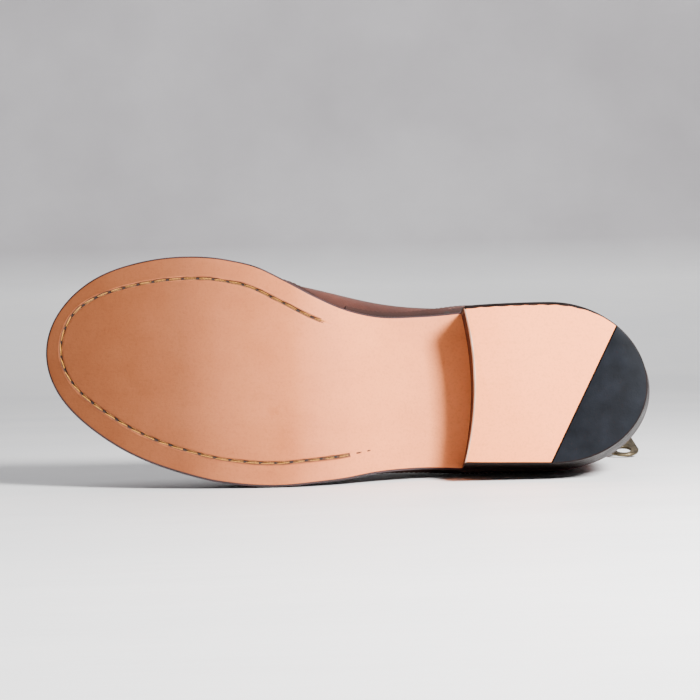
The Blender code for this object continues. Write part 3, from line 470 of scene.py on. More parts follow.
# The sole's last argument paints shade that darkens it towards the toe.
SOLE = sole_leather("sole_leather", (0.59, 0.163, 0.050), (0.69, 0.202, 0.065), (0.77, 0.236, 0.082), 0.26)
TREAD = sole_leather("heel_tread_leather", (0.90, 0.252, 0.080), (0.94, 0.274, 0.090), (0.98, 0.294, 0.100))
EDGE = edge_leather("sole_edge", (0.018, 0.006, 0.007), (0.048, 0.016, 0.017), 0.34, 0.12, 0.3)
HEEL = edge_leather("heel_lifts", (0.004, 0.0025, 0.0025), (0.010, 0.005, 0.0045), 0.34, shine=0.08)
# The heel breast's dark brown is painted shade: the breast lies in the heel's shadow over the waist.
BREAST_SHADE = edge_leather("heel_breast_shade", (0.050, 0.018, 0.009), (0.11, 0.040, 0.019), 0.85, shine=0.1)
FIBRE = edge_leather("cut_leather", (0.42, 0.27, 0.18), (0.80, 0.62, 0.48), 0.85, shine=0.1)
CHANNEL = edge_leather("channel_shadow", (0.055, 0.017, 0.006), (0.14, 0.044, 0.017), 0.8)
LIP = edge_leather("channel_lip", (0.20, 0.055, 0.020), (0.42, 0.130, 0.048), 0.7, shine=0.2)
OCHRE = thread("sole_thread", (0.085, 0.027, 0.002), (0.28, 0.100, 0.006))
# The outer strand of the sole thread, painted lighter as a highlight along the channel.
THREAD_HIGHLIGHT = thread("sole_thread_highlight", (0.24, 0.088, 0.004), (0.56, 0.235, 0.016))
THREAD = thread("upper_thread", (0.050, 0.016, 0.011), (0.115, 0.040, 0.026))
# Near-black painted shade for the holes and score marks, in place of their depth.
HOLE_SHADE = edge_leather("punched_holes_shade", (0.006, 0.003, 0.002), (0.020, 0.008, 0.006), 0.7)
TAPE = woven("zip_fabric", (0.008, 0.006, 0.005), (0.040, 0.030, 0.024))
BRASS = brass("antique_brass")
RUBBER = rubber("rubber")
COVER_MATERIALS = [UPPER, LINING, UPPER_CUT]


# Making pieces.


def link_object(name, data):
    made = bpy.data.objects.new(name, data)
    bpy.context.scene.collection.objects.link(made)
    return made


def finish_piece(name, data, materials, body, replaced, sharp):
    """Makes a mesh a piece that rides on a body and may stand for a node."""
    data.shade_smooth()
    data.set_sharp_from_angle(angle=math.radians(sharp))
    data.materials.clear()
    for material in materials:
        data.materials.append(material)
    made = link_object(name, data)
    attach(made, body)
    if replaced:
        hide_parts(replaced)
    return made


def piece(name, points, faces, materials, replaced=None, slots=None, sharp=40.0):
    """A piece of the boot from points in millimetres. slots: one material index for each face."""
    upright = np.asarray(points, float)
    matrix = np.array(REST)
    placed = (upright * MM) @ matrix[:3, :3].T + matrix[:3, 3]
    data = bpy.data.meshes.new(name)
    data.from_pydata(placed.tolist(), [], [tuple(int(i) for i in face) for face in faces])
    mesh = bmesh.new()
    mesh.from_mesh(data)
    bmesh.ops.recalc_face_normals(mesh, faces=mesh.faces)
    mesh.to_mesh(data)
    mesh.free()
    # How high each point lies over the lasted edge, for the leathers' darker band near the welt: partly edge
    # dye, partly painted shade.
    rise = (upright[:, 2] - lasted_edge(upright[:, 0])) / DYE_AND_SHADE_HEIGHT
    data.attributes.new("rise", "FLOAT", "POINT").data.foreach_set("value", np.clip(rise, 0, 1))
    made = finish_piece(name, data, materials, "boot", replaced, sharp)
    if slots is not None:
        data.polygons.foreach_set("material_index", np.asarray(slots, np.int32))
    return made


def grid_faces(rows, columns, wrap=False):
    faces = []
    for i in range(rows - 1):
        for j in range(columns if wrap else columns - 1):
            k = (j + 1) % columns
            faces.append((i * columns + j, i * columns + k, (i + 1) * columns + k, (i + 1) * columns + j))
    return faces


def closed_stack(rings):
    """Points and faces of closed rings joined into a closed body."""
    count = len(rings[0])
    faces = grid_faces(len(rings), count, wrap=True)
    faces.append(tuple(range(count - 1, -1, -1)))
    faces.append(tuple(range((len(rings) - 1) * count, len(rings) * count)))
    return np.concatenate(rings), faces


def shell(name, rows, kinds, replaced, materials=COVER_MATERIALS):
    """A closed sheet from rows that go over the outside, round the edge and back beneath.

    kinds: the material index after each row.
    """
    columns = len(rows[0])
    last = (len(rows) - 1) * columns
    faces = grid_faces(len(rows), columns)
    faces += [(last + j, last + j + 1, j + 1, j) for j in range(columns - 1)]
    faces.append(tuple(range(0, last + 1, columns)))
    faces.append(tuple(range(last + columns - 1, -1, -columns)))
    slots = [kind for kind in kinds for _ in range(columns - 1)] + [kinds[0], kinds[0]]
    return piece(name, np.concatenate(rows), faces, materials, replaced, slots)


def tree_of(obj):
    """A search tree over a piece, in boot millimetres."""
    back = REST.inverted()
    data = obj.data
    points = [(back @ vertex.co) / MM for vertex in data.vertices]
    return BVHTree.FromPolygons(points, [tuple(polygon.vertices) for polygon in data.polygons])


def distances(line):
    """How far along a line each of its points is."""
    steps = np.linalg.norm(np.diff(line, axis=0), axis=1)
    return np.concatenate([[0.0], np.cumsum(steps)])


def walk(line, step):
    """Places along a line at even steps, each with its direction."""
    marks = distances(line)
    count = max(1, round(marks[-1] / step))
    at = np.minimum(np.arange(count + 1) * marks[-1] / count, marks[-1] - 1e-6)
    index = np.clip(np.searchsorted(marks, at, side="right") - 1, 0, len(line) - 2)
    lengths = (marks[index + 1] - marks[index])[:, None]
    along = line[index + 1] - line[index]
    return line[index] + along * (at - marks[index])[:, None] / lengths, along / lengths


def inset_line(line, tree, distance):
    """A line moved sideways over a surface by distance, without the parts that come too near it."""
    ahead = np.gradient(line, axis=0)
    ahead /= np.linalg.norm(ahead, axis=1, keepdims=True) + 1e-12
    result = []
    for point, forward in zip(line, ahead):
        here = Vector(point)
        moved = 0.0
        while moved < distance - 1e-6:
            part = min(2.0, distance - moved)
            sideways = tree.find_nearest(here)[1].cross(Vector(forward)).normalized()
            here = tree.find_nearest(here + sideways * part)[0]
            moved += part
        result.append(tuple(here))
    result = np.array(result)
    apart = np.linalg.norm(result[:, None] - line[None], axis=2).min(axis=1)
    height = result[:, 2] - lasted_edge(result[:, 0])
    return result[(apart > distance * 0.90 - 0.15) & (height > 1.4)]


def runs(line, longest=6.0, shortest=8.0):
    """The parts of a line between its breaks."""
    steps = np.linalg.norm(np.diff(line, axis=0), axis=1)
    parts = np.split(line, np.flatnonzero(steps > longest) + 1)
    return [part for part in parts if len(part) > shortest]


def circle(count):
    return [2 * math.pi * k / count for k in range(count)]


class Marks:
    """Many small marks gathered into one piece."""

    def __init__(self):
        self.points = []
        self.faces = []

    def tube(self, rings, closed=True):
        """Rings joined by faces, with a face at the end, and at the start too where closed."""
        first = len(self.points)
        around = len(rings[0])
        for ring in rings:
            self.points += ring
        for face in grid_faces(len(rings), around, wrap=True):
            self.faces.append(tuple(first + corner for corner in face))
        if closed:
            self.faces.append(tuple(range(first + around - 1, first - 1, -1)))
        self.faces.append(tuple(range(len(self.points) - around, len(self.points))))

    def stitch(self, here, ahead, normal, length, width=0.55, height=0.42, sink=0.12):
        """One stitch's thread, its ends sunk into the leather."""
        here, ahead, normal = Vector(here), Vector(ahead), Vector(normal)
        ahead = (ahead - normal * ahead.dot(normal)).normalized()
        side = normal.cross(ahead)
        rings = []
        for t in (-1.0, -0.5, 0.0, 0.5, 1.0):
            fat = math.sqrt(max(0.0, 1 - (0.93 * t) ** 4))
            rise = height * (1 - 0.75 * t * t) - sink
            middle = here + ahead * (t * length / 2) + normal * (rise / 2)
            rings.append([middle + side * (math.cos(turn) * width / 2 * fat)
                          + normal * (math.sin(turn) * height / 2 * fat) for turn in circle(6)])
        self.tube(rings)

    def hole(self, here, normal, radius, lip=0.10):
        """A punched hole: a dished disc inside a low lip, drawn dark as painted shade in place of the hole's
        depth.
        """
        here, normal = Vector(here), Vector(normal)
        side = normal.orthogonal().normalized()
        other = normal.cross(side)
        self.tube([[here + (side * math.cos(turn) + other * math.sin(turn)) * radius * reach + normal * rise
                    for turn in circle(12)]
                   for reach, rise in ((1.0, lip * 0.3), (0.80, 0.05), (0.45, 0.03))], closed=False)

    def make(self, name, material, replaced=None, sharp=40.0):
        points = [tuple(point) for point in self.points]
        return piece(name, points, self.faces, [material], replaced, sharp=sharp)


stitches = Marks()
holes = Marks()


def stitch_row(line, tree):
    for here, ahead in zip(*walk(line, STITCH_PITCH)):
        near, normal, _, _ = tree.find_nearest(Vector(here))
        stitches.stitch(near, ahead, normal, STITCH_PITCH * 0.80)


def brogue_row(line, tree, pitch=HOLE_PITCH, big=1.35, small=0.55, gap=1.75):
    """Large holes with a pair of small ones between."""
    for number, (here, ahead) in enumerate(zip(*walk(line, pitch / 2))):
        near, normal, _, _ = tree.find_nearest(Vector(here))
        if number % 2 == 0:
            holes.hole(near, normal, big)
            continue
        side = normal.cross(Vector(ahead)).normalized()
        for sign in (-1, 1):
            spot, spot_normal, _, _ = tree.find_nearest(near + side * gap * sign)
            holes.hole(spot, spot_normal, small)


def edge_curve(table, turns):
    return table_value(table, np.degrees(np.arccos(np.clip(np.cos(turns), -1, 1))))


def pinked(at):
    """Depth of a pinked edge along its length, from 0 at the points to 1 between them."""
    return np.sqrt(np.abs((at / PINK_PITCH) % 1.0 - 0.5) * 2)


# The upper: a smooth wall with rolled edges, leather outside and lining inside.


def make_upper():
    rows = np.concatenate([np.linspace(0, 1, 16)[:-1], np.linspace(1, 3, 34)[:-1], np.linspace(3, 5.94, 56)])
    columns = 260
    slit_row = int(np.argmin(np.abs(rows - 3.0)))
    edge = back_turn(np.maximum(rows, 3.0), SLIT_WIDTH / 2 - 0.4)
    back = 12
    turns = np.empty((len(rows), columns + back))
    for i, start in enumerate(edge):
        turns[i, : columns + 1] = np.linspace(start, 2 * math.pi - start, columns + 1)
        turns[i, columns:] = 2 * math.pi + np.linspace(-start, start, back + 1)[:-1]
    rings = np.broadcast_to(rows[:, None], turns.shape)
    outer = outside(turns, rings, 0.0)
    inner = outside(turns, rings, -WALL, 0.6)
    middle = outside(turns[-1:], 5.99, -WALL / 2)
    total = columns + back
    points = []
    number = {}
    for layer, grid in enumerate((outer, inner)):
        for i in range(len(rows)):
            for j in range(total if i <= slit_row else columns + 1):
                number[layer, i, j] = len(points)
                points.append(grid[i, j])
    top = len(rows) - 1
    for j in range(columns + 1):
        number[2, top, j] = len(points)
        points.append(middle[0, j])
    faces = []
    slots = []

    def quad(slot, *corners):
        faces.append(tuple(number[corner] for corner in corners))
        slots.append(slot)

    for i in range(top):
        for j in range(total if i < slit_row else columns):
            k = (j + 1) % total
            quad(0, (0, i, j), (0, i, k), (0, i + 1, k), (0, i + 1, j))
            quad(1, (1, i, j), (1, i + 1, j), (1, i + 1, k), (1, i, k))
    for j in range(total):
        k = (j + 1) % total
        quad(2, (0, 0, j), (1, 0, j), (1, 0, k), (0, 0, k))
    for j in range(columns):
        quad(2, (0, top, j), (0, top, j + 1), (2, top, j + 1), (2, top, j))
        quad(2, (2, top, j), (2, top, j + 1), (1, top, j + 1), (1, top, j))
    for j in range(columns, total):
        k = (j + 1) % total
        quad(2, (0, slit_row, j), (0, slit_row, k), (1, slit_row, k), (1, slit_row, j))
    for i in range(slit_row, top):
        for j in (0, columns):
            quad(2, (0, i, j), (1, i, j), (1, i + 1, j), (0, i + 1, j))
    for j in (0, columns):
        faces.append((number[0, top, j], number[2, top, j], number[1, top, j]))
        slots.append(2)
    return piece("upper_shell", points, faces, COVER_MATERIALS, "upper", slots)
def make_cover(name, table, ends, count, replaced):
    """A wing tip or counter with a pinked edge, rows of stitches and brogueing along it."""
    turns = np.linspace(*ends, 1200)
    marks = distances(surface(turns, edge_curve(table, turns)))
    at = np.linspace(0, marks[-1], int(round(marks[-1] / 0.52)) + 1)
    turns = np.interp(at, marks, turns)
    smooth = edge_curve(table, turns)
    ahead = np.gradient(surface(turns, smooth), axis=0)
    ahead /= np.linalg.norm(ahead, axis=1, keepdims=True)
    rise = surface(turns, smooth + 0.02) - surface(turns, smooth - 0.02)
    length = np.linalg.norm(rise, axis=1)
    lean = (ahead * rise).sum(axis=1) / length
    square = np.sqrt(np.clip(1 - lean**2, 0.2, 1))
    edge = smooth + PINK_DEPTH * (0.5 - pinked(at)) * 0.04 / length / square
    edge = np.maximum(edge, 0.04)
    rows = []
    for share in 1 - (1 - np.linspace(0, 1, count)) ** 1.35:
        rows.append(outside(turns, edge * share, OVERLAY_TOP - 0.16 * max(0.0, (share - 0.985) / 0.015)))
    rows += [outside(turns, edge, OVERLAY_TOP - 0.45), outside(turns, edge, -0.2), outside(turns, 0.0, -0.2)]
    tree = tree_of(shell(name, rows, [0] * (count - 1) + [2, 2, 1, 1], replaced))
    line = walk(outside(turns, smooth), 1.0)[0]
    for distance in (2.3, 3.6, 9.6):
        for run in runs(inset_line(line[1:-1], tree, distance)):
            stitch_row(run, tree)
    for run in runs(inset_line(line[2:-2], tree, 6.6)):
        brogue_row(run, tree)


def make_band(upper_tree):
    """The strip below the collar, with stitched edges and brogueing, and the stitches of the collar."""
    low, high = BAND_RINGS
    start = float(back_turn(np.array((low + high) / 2), SLIT_WIDTH / 2 + FACING_WIDTH - 0.6))
    turns = np.linspace(start, 2 * math.pi - start, 300)
    rows = []
    for share in np.linspace(0, 1, 11):
        out = OVERLAY_TOP - 0.35 * (1 - min(1, min(share, 1 - share) / 0.05))
        rows.append(outside(turns, low + (high - low) * share, out))
    rows += [outside(turns, high, -0.1), outside(turns, low, -0.1)]
    tree = tree_of(shell("collar_strip", rows, [0] * 10 + [2, 1, 2], "collar_band"))
    for share in (0.085, 0.17, 0.83, 0.915):
        stitch_row(outside(turns, low + (high - low) * share), tree)
    brogue_row(outside(turns, (low + high) / 2), tree, 9.0, 1.5, 0.6, 1.8)
    stitch_row(outside(turns, 5.90, 0.0), upper_tree)


def make_facings():
    rings = np.linspace(2.95, 5.97, 90)
    near = back_turn(rings, SLIT_WIDTH / 2 - 1.2)
    far = back_turn(rings, SLIT_WIDTH / 2 + FACING_WIDTH)
    profile = ((0.0, 0.25), (0.015, 0.95), (0.06, 1.45), (0.14, OVERLAY_TOP), (0.35, OVERLAY_TOP),
               (0.6, OVERLAY_TOP), (0.9, OVERLAY_TOP), (0.975, 1.55), (1.0, 1.1), (1.0, -0.1),
               (0.5, -0.1), (0.0, -0.6))
    for side, name in ((1, "medial"), (-1, "lateral")):
        rows = [outside(side * (near + (far - near) * share), rings, out) for share, out in profile]
        made = shell("facing_" + name, rows, [0] * 8 + [2, 1, 1, 0], "zip_facing_" + name)
        tree = tree_of(made)
        for share in (0.24, 0.40, 0.84):
            stitch_row(outside(side * (near + (far - near) * share), rings)[2:-2], tree)


# The sole, welt and heel.


def sole_turns(count):
    return np.arange(count) * 2 * math.pi / count


def raised(flat, height):
    return np.column_stack([flat, np.broadcast_to(height, len(flat))])


def above_sole(flat, height):
    return raised(flat, sole_bottom(flat[:, 0]) + height)


def sole_lid(points, first, count, across=14):
    """Faces that close a ring of the sole, with new points added in rows from side to side."""
    half = count // 2
    rows = []
    for i in range(1, half):
        start, end = points[first + i], points[first + count - i]
        row = [first + i]
        for step in range(1, across):
            x, y, _ = start + (end - start) * step / across
            row.append(len(points))
            points.append(np.array([x, y, sole_bottom(x) + (start[2] - sole_bottom(start[0]))]))
        rows.append(row + [first + count - i])
    faces = [tuple([first] + rows[0]), tuple([first + half] + rows[-1][::-1])]
    for row, after in zip(rows, rows[1:]):
        faces += [(row[s], after[s], after[s + 1], row[s + 1]) for s in range(across)]
    return faces


def make_outsole():
    """The sole with its edge, and the stitch channel, which opens from the waist round the toe."""
    count = 360
    turns = sole_turns(count)
    start = np.where(np.sin(turns) >= 0, 150.0, 140.0)
    opening = smoothstep((plan_point(turns)[:, 0] - start) / 6.0)
    half = CHANNEL_WIDTH / 2
    middle = table_value(CHANNEL_INSET, np.degrees(turns))
    ragged = 0.10 * np.sin(turns * 61) + 0.07 * np.sin(turns * 143 + 1)
    edge_rows = (
        (18.5, OUTSOLE, 1), (2.0, OUTSOLE, 1), (0.55, OUTSOLE - 0.05, 1), (0.1, OUTSOLE - 0.5, 1),
        (0.0, OUTSOLE - 1.2, 1), (0.18, OUTSOLE - 1.5, 1), (0.0, OUTSOLE - 1.9, 1), (0.0, 1.2, 1),
        (0.10, 0.60, 1), (0.38, 0.22, 1), (0.85, 0.03, 1), (1.1, 0.0, 0), (2.4, 0.0, 0),
    )
    channel_rows = (
        (-half - 1.5, 0.0, 0), (-half - 0.55, -0.06, 0), (-half - 0.05, -0.22, 3), (-half + 0.2, 0.1, 2),
        (-half + 0.4, CHANNEL_DEPTH, 2), (half - 0.4, CHANNEL_DEPTH, 2), (half - 0.1, 0.15, 2),
        (half + 0.15, 0.0, 3), (half + 0.8, 0.0, 0), (half + 3.0, 0.0, 0),
    )
    rings = [above_sole(plan_inset(turns, inset), height) for inset, height, _ in edge_rows]
    for inset, height, kind in channel_rows:
        flat = plan_inset(turns, middle + inset + ragged * (kind == 3))
        rings.append(above_sole(flat, height * opening))
    rings.append(above_sole(plan_inset(turns, 18.5), 0.0))
    points = list(np.concatenate(rings))
    faces = grid_faces(len(rings), count, wrap=True)
    slots = []
    for _, _, kind in (*edge_rows[1:], *channel_rows, (18.5, 0.0, 0)):
        slots += [kind if kind < 2 or share > 0.3 else 0 for share in opening]
    for ring, kind in ((0, 1), (len(rings) - 1, 0)):
        lid = sole_lid(points, ring * count, count)
        faces += lid
        slots += [kind] * len(lid)
    piece("sole_leather_layer", points, faces, [SOLE, EDGE, CHANNEL, LIP], "outsole", slots)


def make_sole_stitches():
    """Ochre double thread in the channel, its outer strand painted lighter as a highlight, between awl holes
    drawn as dark discs of painted shade.
    """
    threads = Marks()
    pale = Marks()
    dark = Marks()
    turns = np.linspace(0.2, 2 * math.pi - 0.2, 1500)
    line = plan_inset(turns, table_value(CHANNEL_INSET, np.degrees(turns)))
    line = line[line[:, 0] > np.where(turns < math.pi, 154.0, 143.0)]
    line = above_sole(line, CHANNEL_DEPTH)
    places, directions = walk(line, SOLE_STITCH_PITCH)
    down = Vector((0, 0, -1))
    for number, (here, ahead) in enumerate(zip(places, directions)):
        inward = down.cross(Vector(ahead)).normalized()
        hole = Vector(here) + inward * (0.35 + random.uniform(-0.12, 0.12)) + Vector((0, 0, -0.12))
        # Awl holes: dark discs of painted shade.
        dark.hole(hole, down, random.uniform(1.0, 1.35), 0.04)
        dark.hole(hole - Vector(ahead) * random.uniform(0.7, 1.1), down, random.uniform(0.35, 0.6), 0.04)
        if number + 1 == len(places):
            break
        after = Vector(places[number + 1])
        middle = (Vector(here) + after) / 2
        forward = (after - Vector(here)).normalized()
        side = down.cross(forward).normalized()
        length = (after - Vector(here)).length - 0.9
        # The outer strand's paler material is a painted highlight; the inner has the thread's own ochre.
        for sign, marks in ((-1, pale), (1, threads)):
            skew = random.uniform(-0.05, 0.05) - 0.04 * sign
            marks.stitch(middle + side * (0.36 + random.uniform(-0.06, 0.06)) * sign, forward + side * skew,
                         down, length, 0.54, 0.6, random.uniform(-0.05, 0.12))
    # Two score marks past the last stitch, dark with the holes' painted shade.
    end = Vector(places[-1])
    forward = Vector(directions[-1])
    for far, length in ((4.2, 4.4), (9.8, 2.6)):
        spot = end + forward * far
        spot.z = float(sole_bottom(spot.x)) - 0.02
        dark.stitch(spot, forward, down, length, 0.55, 0.2, 0.1)
    threads.make("sole_stitches", OCHRE)
    pale.make("sole_stitches_outer", THREAD_HIGHLIGHT)
    dark.make("sole_awl_holes", HOLE_SHADE)


def make_welt():
    """The welt, with the marks of its stitches pressed into the upper edge."""
    count = 420
    turns = sole_turns(count)
    low = OUTSOLE + 0.1
    high = OUTSOLE + WELT
    pressed = 0.10 * np.cos(np.arange(count) * math.pi)
    profile = ((9.0, low), (0.9, low), (0.55, low + 0.25), (0.4, low + 0.8), (0.45, high - 0.75),
               (0.65, high - 0.25), (1.1, high + pressed), (2.2, high + 0.05), (9.0, high))
    rings = [above_sole(plan_inset(turns, inset), height) for inset, height in profile]
    faces = grid_faces(len(rings), count, wrap=True)
    last = (len(rings) - 1) * count
    faces += [(last + j, last + (j + 1) % count, (j + 1) % count, j) for j in range(count)]
    piece("welt_strip", np.concatenate(rings), faces, [EDGE], "welt")
    rows = Marks()
    line = plan_inset(np.linspace(0.3, 2 * math.pi - 0.3, 1500), 2.0)
    line = above_sole(line[line[:, 0] > 128.0], OUTSOLE + WELT + 0.05)
    for here, ahead in zip(*walk(line, 2.8)):
        rows.stitch(here, ahead, (0, 0, 1), 2.2, 0.6, 0.45, 0.15)
    rows.make("welt_stitches", THREAD)


def heel_outline(level, inset, steps=120):
    """Closed outline of the heel at a level from 0, the tread, to 1, the seat, drawn in by inset."""
    corner = math.acos(1 - 2 * HEEL_LENGTH / SOLE_LENGTH)
    side = plan_inset(np.linspace(-corner, corner, steps), 0.3 + inset)
    side[:, 0] += HEEL_BACK_PITCH * (1 - level) * (1 - side[:, 0] / HEEL_LENGTH)
    side[:, 1] *= np.where(side[:, 1] < 0, 1 - HEEL_SIDE_TAPER * (1 - level), 1.0)
    share = np.linspace(0, 1, BREAST_POINTS + 2)[1:-1]
    breast = side[-1] + (side[0] - side[-1]) * share[:, None]
    breast[:, 0] -= BREAST_HOLLOW * 4 * share * (1 - share)
    outline = np.concatenate([side, breast])
    outline[:, 0] -= np.where(outline[:, 0] > HEEL_LENGTH - 6, inset, 0.0)
    return outline


def make_lifts(lifts=5):
    """The heel's leather lifts, with fine lines between them."""
    low, high = TOP_PIECE + 0.1, HEEL_HEIGHT - 0.1
    rings = []
    for lift in range(lifts):
        foot = low + (high - low) * lift / lifts
        top = low + (high - low) * (lift + 1) / lifts
        for z, inset in ((foot, 0.06), (foot + 0.08, 0.0), (foot + 0.2, 0.0), (top - 0.2, 0.0),
                         (top - 0.08, 0.0), (top, 0.06)):
            rings.append(raised(heel_outline(z / HEEL_HEIGHT, inset), z))
    points, faces = closed_stack(rings)
    round_points = len(rings[0]) - BREAST_POINTS
    # The breast faces take the dark brown of painted shade.
    slots = ([0] * round_points + [1] * BREAST_POINTS) * (len(rings) - 1) + [0, 0]
    piece("heel_lifts", points, faces, [HEEL, BREAST_SHADE], "heel_stack", slots, 30)


def make_top_piece(name, replaced, side, materials):
    """The leather or the rubber of the heel's tread, on its side of one slanting line."""
    start = np.array(RUBBER_LINE_INNER)
    along = np.array(RUBBER_LINE_OUTER) - start
    square = np.array([along[1], -along[0]]) / np.linalg.norm(along) * side
    profile = ((0.55, 0.0, 0), (0.34, 0.03, 1), (0.14, 0.16, 1), (0.02, 0.42, 1), (0.0, 1.1, 1),
               (0.0, TOP_PIECE - 0.5, 1), (0.06, TOP_PIECE - 0.12, 1), (0.25, TOP_PIECE, 1))
    rings = []
    for inset, z, _ in profile:
        ring = worn_edge(heel_outline(z / HEEL_HEIGHT, inset), z)
        ring = clip_ring(ring, start + square * (0.08 + min(inset, 0.5) * 0.5), square)
        rings.append(raised(resample(ring), z))
    points, faces = closed_stack(rings)
    slots = []
    for ring, (_, _, kind) in zip(rings, profile[1:]):
        ahead = np.abs(np.roll(ring, -1, axis=0) - ring)
        at_breast = (ring[:, 0] > HEEL_LENGTH - 8) & (ahead[:, 1] > 2 * ahead[:, 0])
        slots += list(np.where(at_breast & (kind > 0), 2, kind))
    piece(name, points, faces, materials, replaced, slots + [0, 1], 50)


def worn_edge(ring, z):
    """The inner side's edge is rounded off further, where the dark finish runs over it."""
    share = smoothstep((ring[:, 1] - 20) / 10) * smoothstep((ring[:, 0] - 18) / 26)
    moved = ring.copy()
    moved[:, 1] -= 1.2 * share * (1 - smoothstep(z / 0.9)) * (0.9 + 0.15 * np.sin(ring[:, 0] * 0.9))
    return moved


def clip_ring(ring, origin, normal):
    """The part of a closed outline on the normal's side of a line, from one end of the cut to the other."""
    kept = []
    side = (ring - origin) @ normal
    for i in range(len(ring)):
        k = (i + 1) % len(ring)
        if side[i] >= 0:
            kept.append(ring[i])
        if side[i] * side[k] < 0:
            kept.append(ring[i] + (ring[k] - ring[i]) * side[i] / (side[i] - side[k]))
    kept = np.array(kept)
    gaps = np.linalg.norm(kept - np.roll(kept, -1, axis=0), axis=1)
    gaps[np.abs((kept - origin) @ normal) > 1e-6] = 0
    return np.roll(kept, -int(np.argmax(gaps)) - 1, axis=0)


def resample(ring, round_points=170, straight_points=30):
    """A closed outline at even steps, with the two ends of its straight cut kept as corners."""
    marks = distances(ring)
    at = np.linspace(0, marks[-1], round_points)
    arc = np.column_stack([np.interp(at, marks, ring[:, 0]), np.interp(at, marks, ring[:, 1])])
    share = np.linspace(0, 1, straight_points + 2)[1:-1, None]
    return np.concatenate([arc, ring[-1] + (ring[0] - ring[-1]) * share])


# The zip.


def outwards(ahead):
    """The direction out of the boot's back, square to a line along the back seam."""
    out = ahead.cross(Vector((0, 1, 0))).normalized()
    return -out if out.x > 0 else out


def slider_frame():
    """The slider's middle, and its directions out, across and along the zip."""
    length = distances(surface(0.0, np.linspace(5.0, SLIDER_RING, 60)))[-1]
    share = (SLIDER_LENGTH / 2 + 0.3) / length
    centre = surface(0.0, SLIDER_RING - share * (1 - 0.06))
    along = Vector(surface(0.0, SLIDER_RING) - centre).normalized()
    out = outwards(along)
    across = along.cross(out).normalized()
    if across.y < 0:
        across = -across
    return Vector(centre) + out * 0.7, out, across, along


BASE, OUT, ACROSS, ALONG = slider_frame()
HINGE = BASE + OUT * (SLIDER_PLATE + BRIDGE_RISE - BRIDGE_STRAP / 2)


def make_tape():
    rings = np.linspace(2.88, 5.96, 60)
    half = back_turn(rings, SLIT_WIDTH / 2 + 4.0)
    rows = [outside(half * share, rings, -WALL - 0.3, 0) for share in np.linspace(-1, 1, 25)]
    rows += [outside(half * share, rings, -WALL - 1.1, 0) for share in np.linspace(1, -1, 9)]
    shell("tape_weave", rows, [0] * len(rows), "zip_tape", [TAPE])


def make_teeth():
    """Interlocked metal teeth, and the stop below them."""
    chain = Marks()
    line = surface(0.0, np.linspace(3.30, 5.92, 400))
    for number, (here, ahead) in enumerate(zip(*walk(line, 1.25))):
        ahead = Vector(ahead)
        out = outwards(ahead)
        side = ahead.cross(out).normalized() * (1 if number % 2 else -1)
        centre = Vector(here) - out * 0.85 + side * 1.25
        chain.tube([[centre + side * far + ahead * (b * long_half) + out * (c * tall)
                     for b, c in ((-1, -1), (1, -1), (1, 0.55), (0.6, 1), (-0.6, 1), (-1, 0.55))]
                    for far, long_half, tall in ((-2.1, 0.55, 0.9), (-1.2, 0.72, 1.1), (0.4, 0.72, 1.15),
                                                 (1.5, 0.62, 1.15), (2.15, 0.42, 0.9))])
    chain.make("teeth_chain", BRASS, "zip_teeth", 35)
    stop = Marks()
    here = Vector(surface(0.0, 3.20))
    out = outwards((Vector(surface(0.0, 3.26)) - here).normalized())
    stop.stitch(here - out * 1.6, (0, 1, 0), out, 7.0, 2.6, 2.2, 0.0)
    stop.make("teeth_stop", BRASS, "zip_stop")


def local_piece(obj, origin, axes, body, replaced):
    """Makes an object drawn in its own millimetres a brass piece: its x, y and z go along three axes."""
    name = obj.name
    data = bpy.data.meshes.new_from_object(obj.evaluated_get(bpy.context.evaluated_depsgraph_get()))
    bpy.data.objects.remove(obj)
    turn = Matrix(axes).transposed().to_4x4()
    turn.translation = origin
    data.transform(REST @ Matrix.Diagonal((MM, MM, MM, 1)) @ turn)
    if (REST @ turn).to_3x3().determinant() < 0:
        data.flip_normals()
    finish_piece(name, data, [BRASS], body, replaced, 40)


def curve_object(name, dimensions, outlines, **fields):
    curve = bpy.data.curves.new(name, "CURVE")
    curve.dimensions = dimensions
    for field, value in fields.items():
        setattr(curve, field, value)
    for outline in outlines:
        spline = curve.splines.new("POLY")
        spline.points.add(len(outline) - 1)
        for point, (x, y) in zip(spline.points, outline):
            point.co = (x, y, 0.0, 1.0)
        spline.use_cyclic_u = True
    made = link_object(name, curve)
    bpy.context.view_layer.update()
    return made


def plate(name, outlines, thick, bevel):
    """A plate from closed outlines, the inner ones being holes, with rounded edges."""
    return curve_object(name, "2D", outlines, fill_mode="BOTH", extrude=thick / 2 - bevel,
                        bevel_depth=bevel, bevel_resolution=3, offset=-bevel)

def rounded(corners, radii, steps):
    points = []
    for i, (corner, radius) in enumerate(zip(corners, radii)):
        here = Vector(corner)
        before = (Vector(corners[i - 1]) - here).normalized()
        after = (Vector(corners[(i + 1) % len(corners)]) - here).normalized()
        opening = before.angle(after)
        cut = radius / math.tan(opening / 2)
        first = here + before * cut
        last = here + after * cut
        centre = here + (before + after).normalized() * radius / math.sin(opening / 2)
        for step in range(steps + 1):
            direction = (first - centre).lerp(last - centre, step / steps).normalized()
            points.append(centre + direction * radius)
    return points


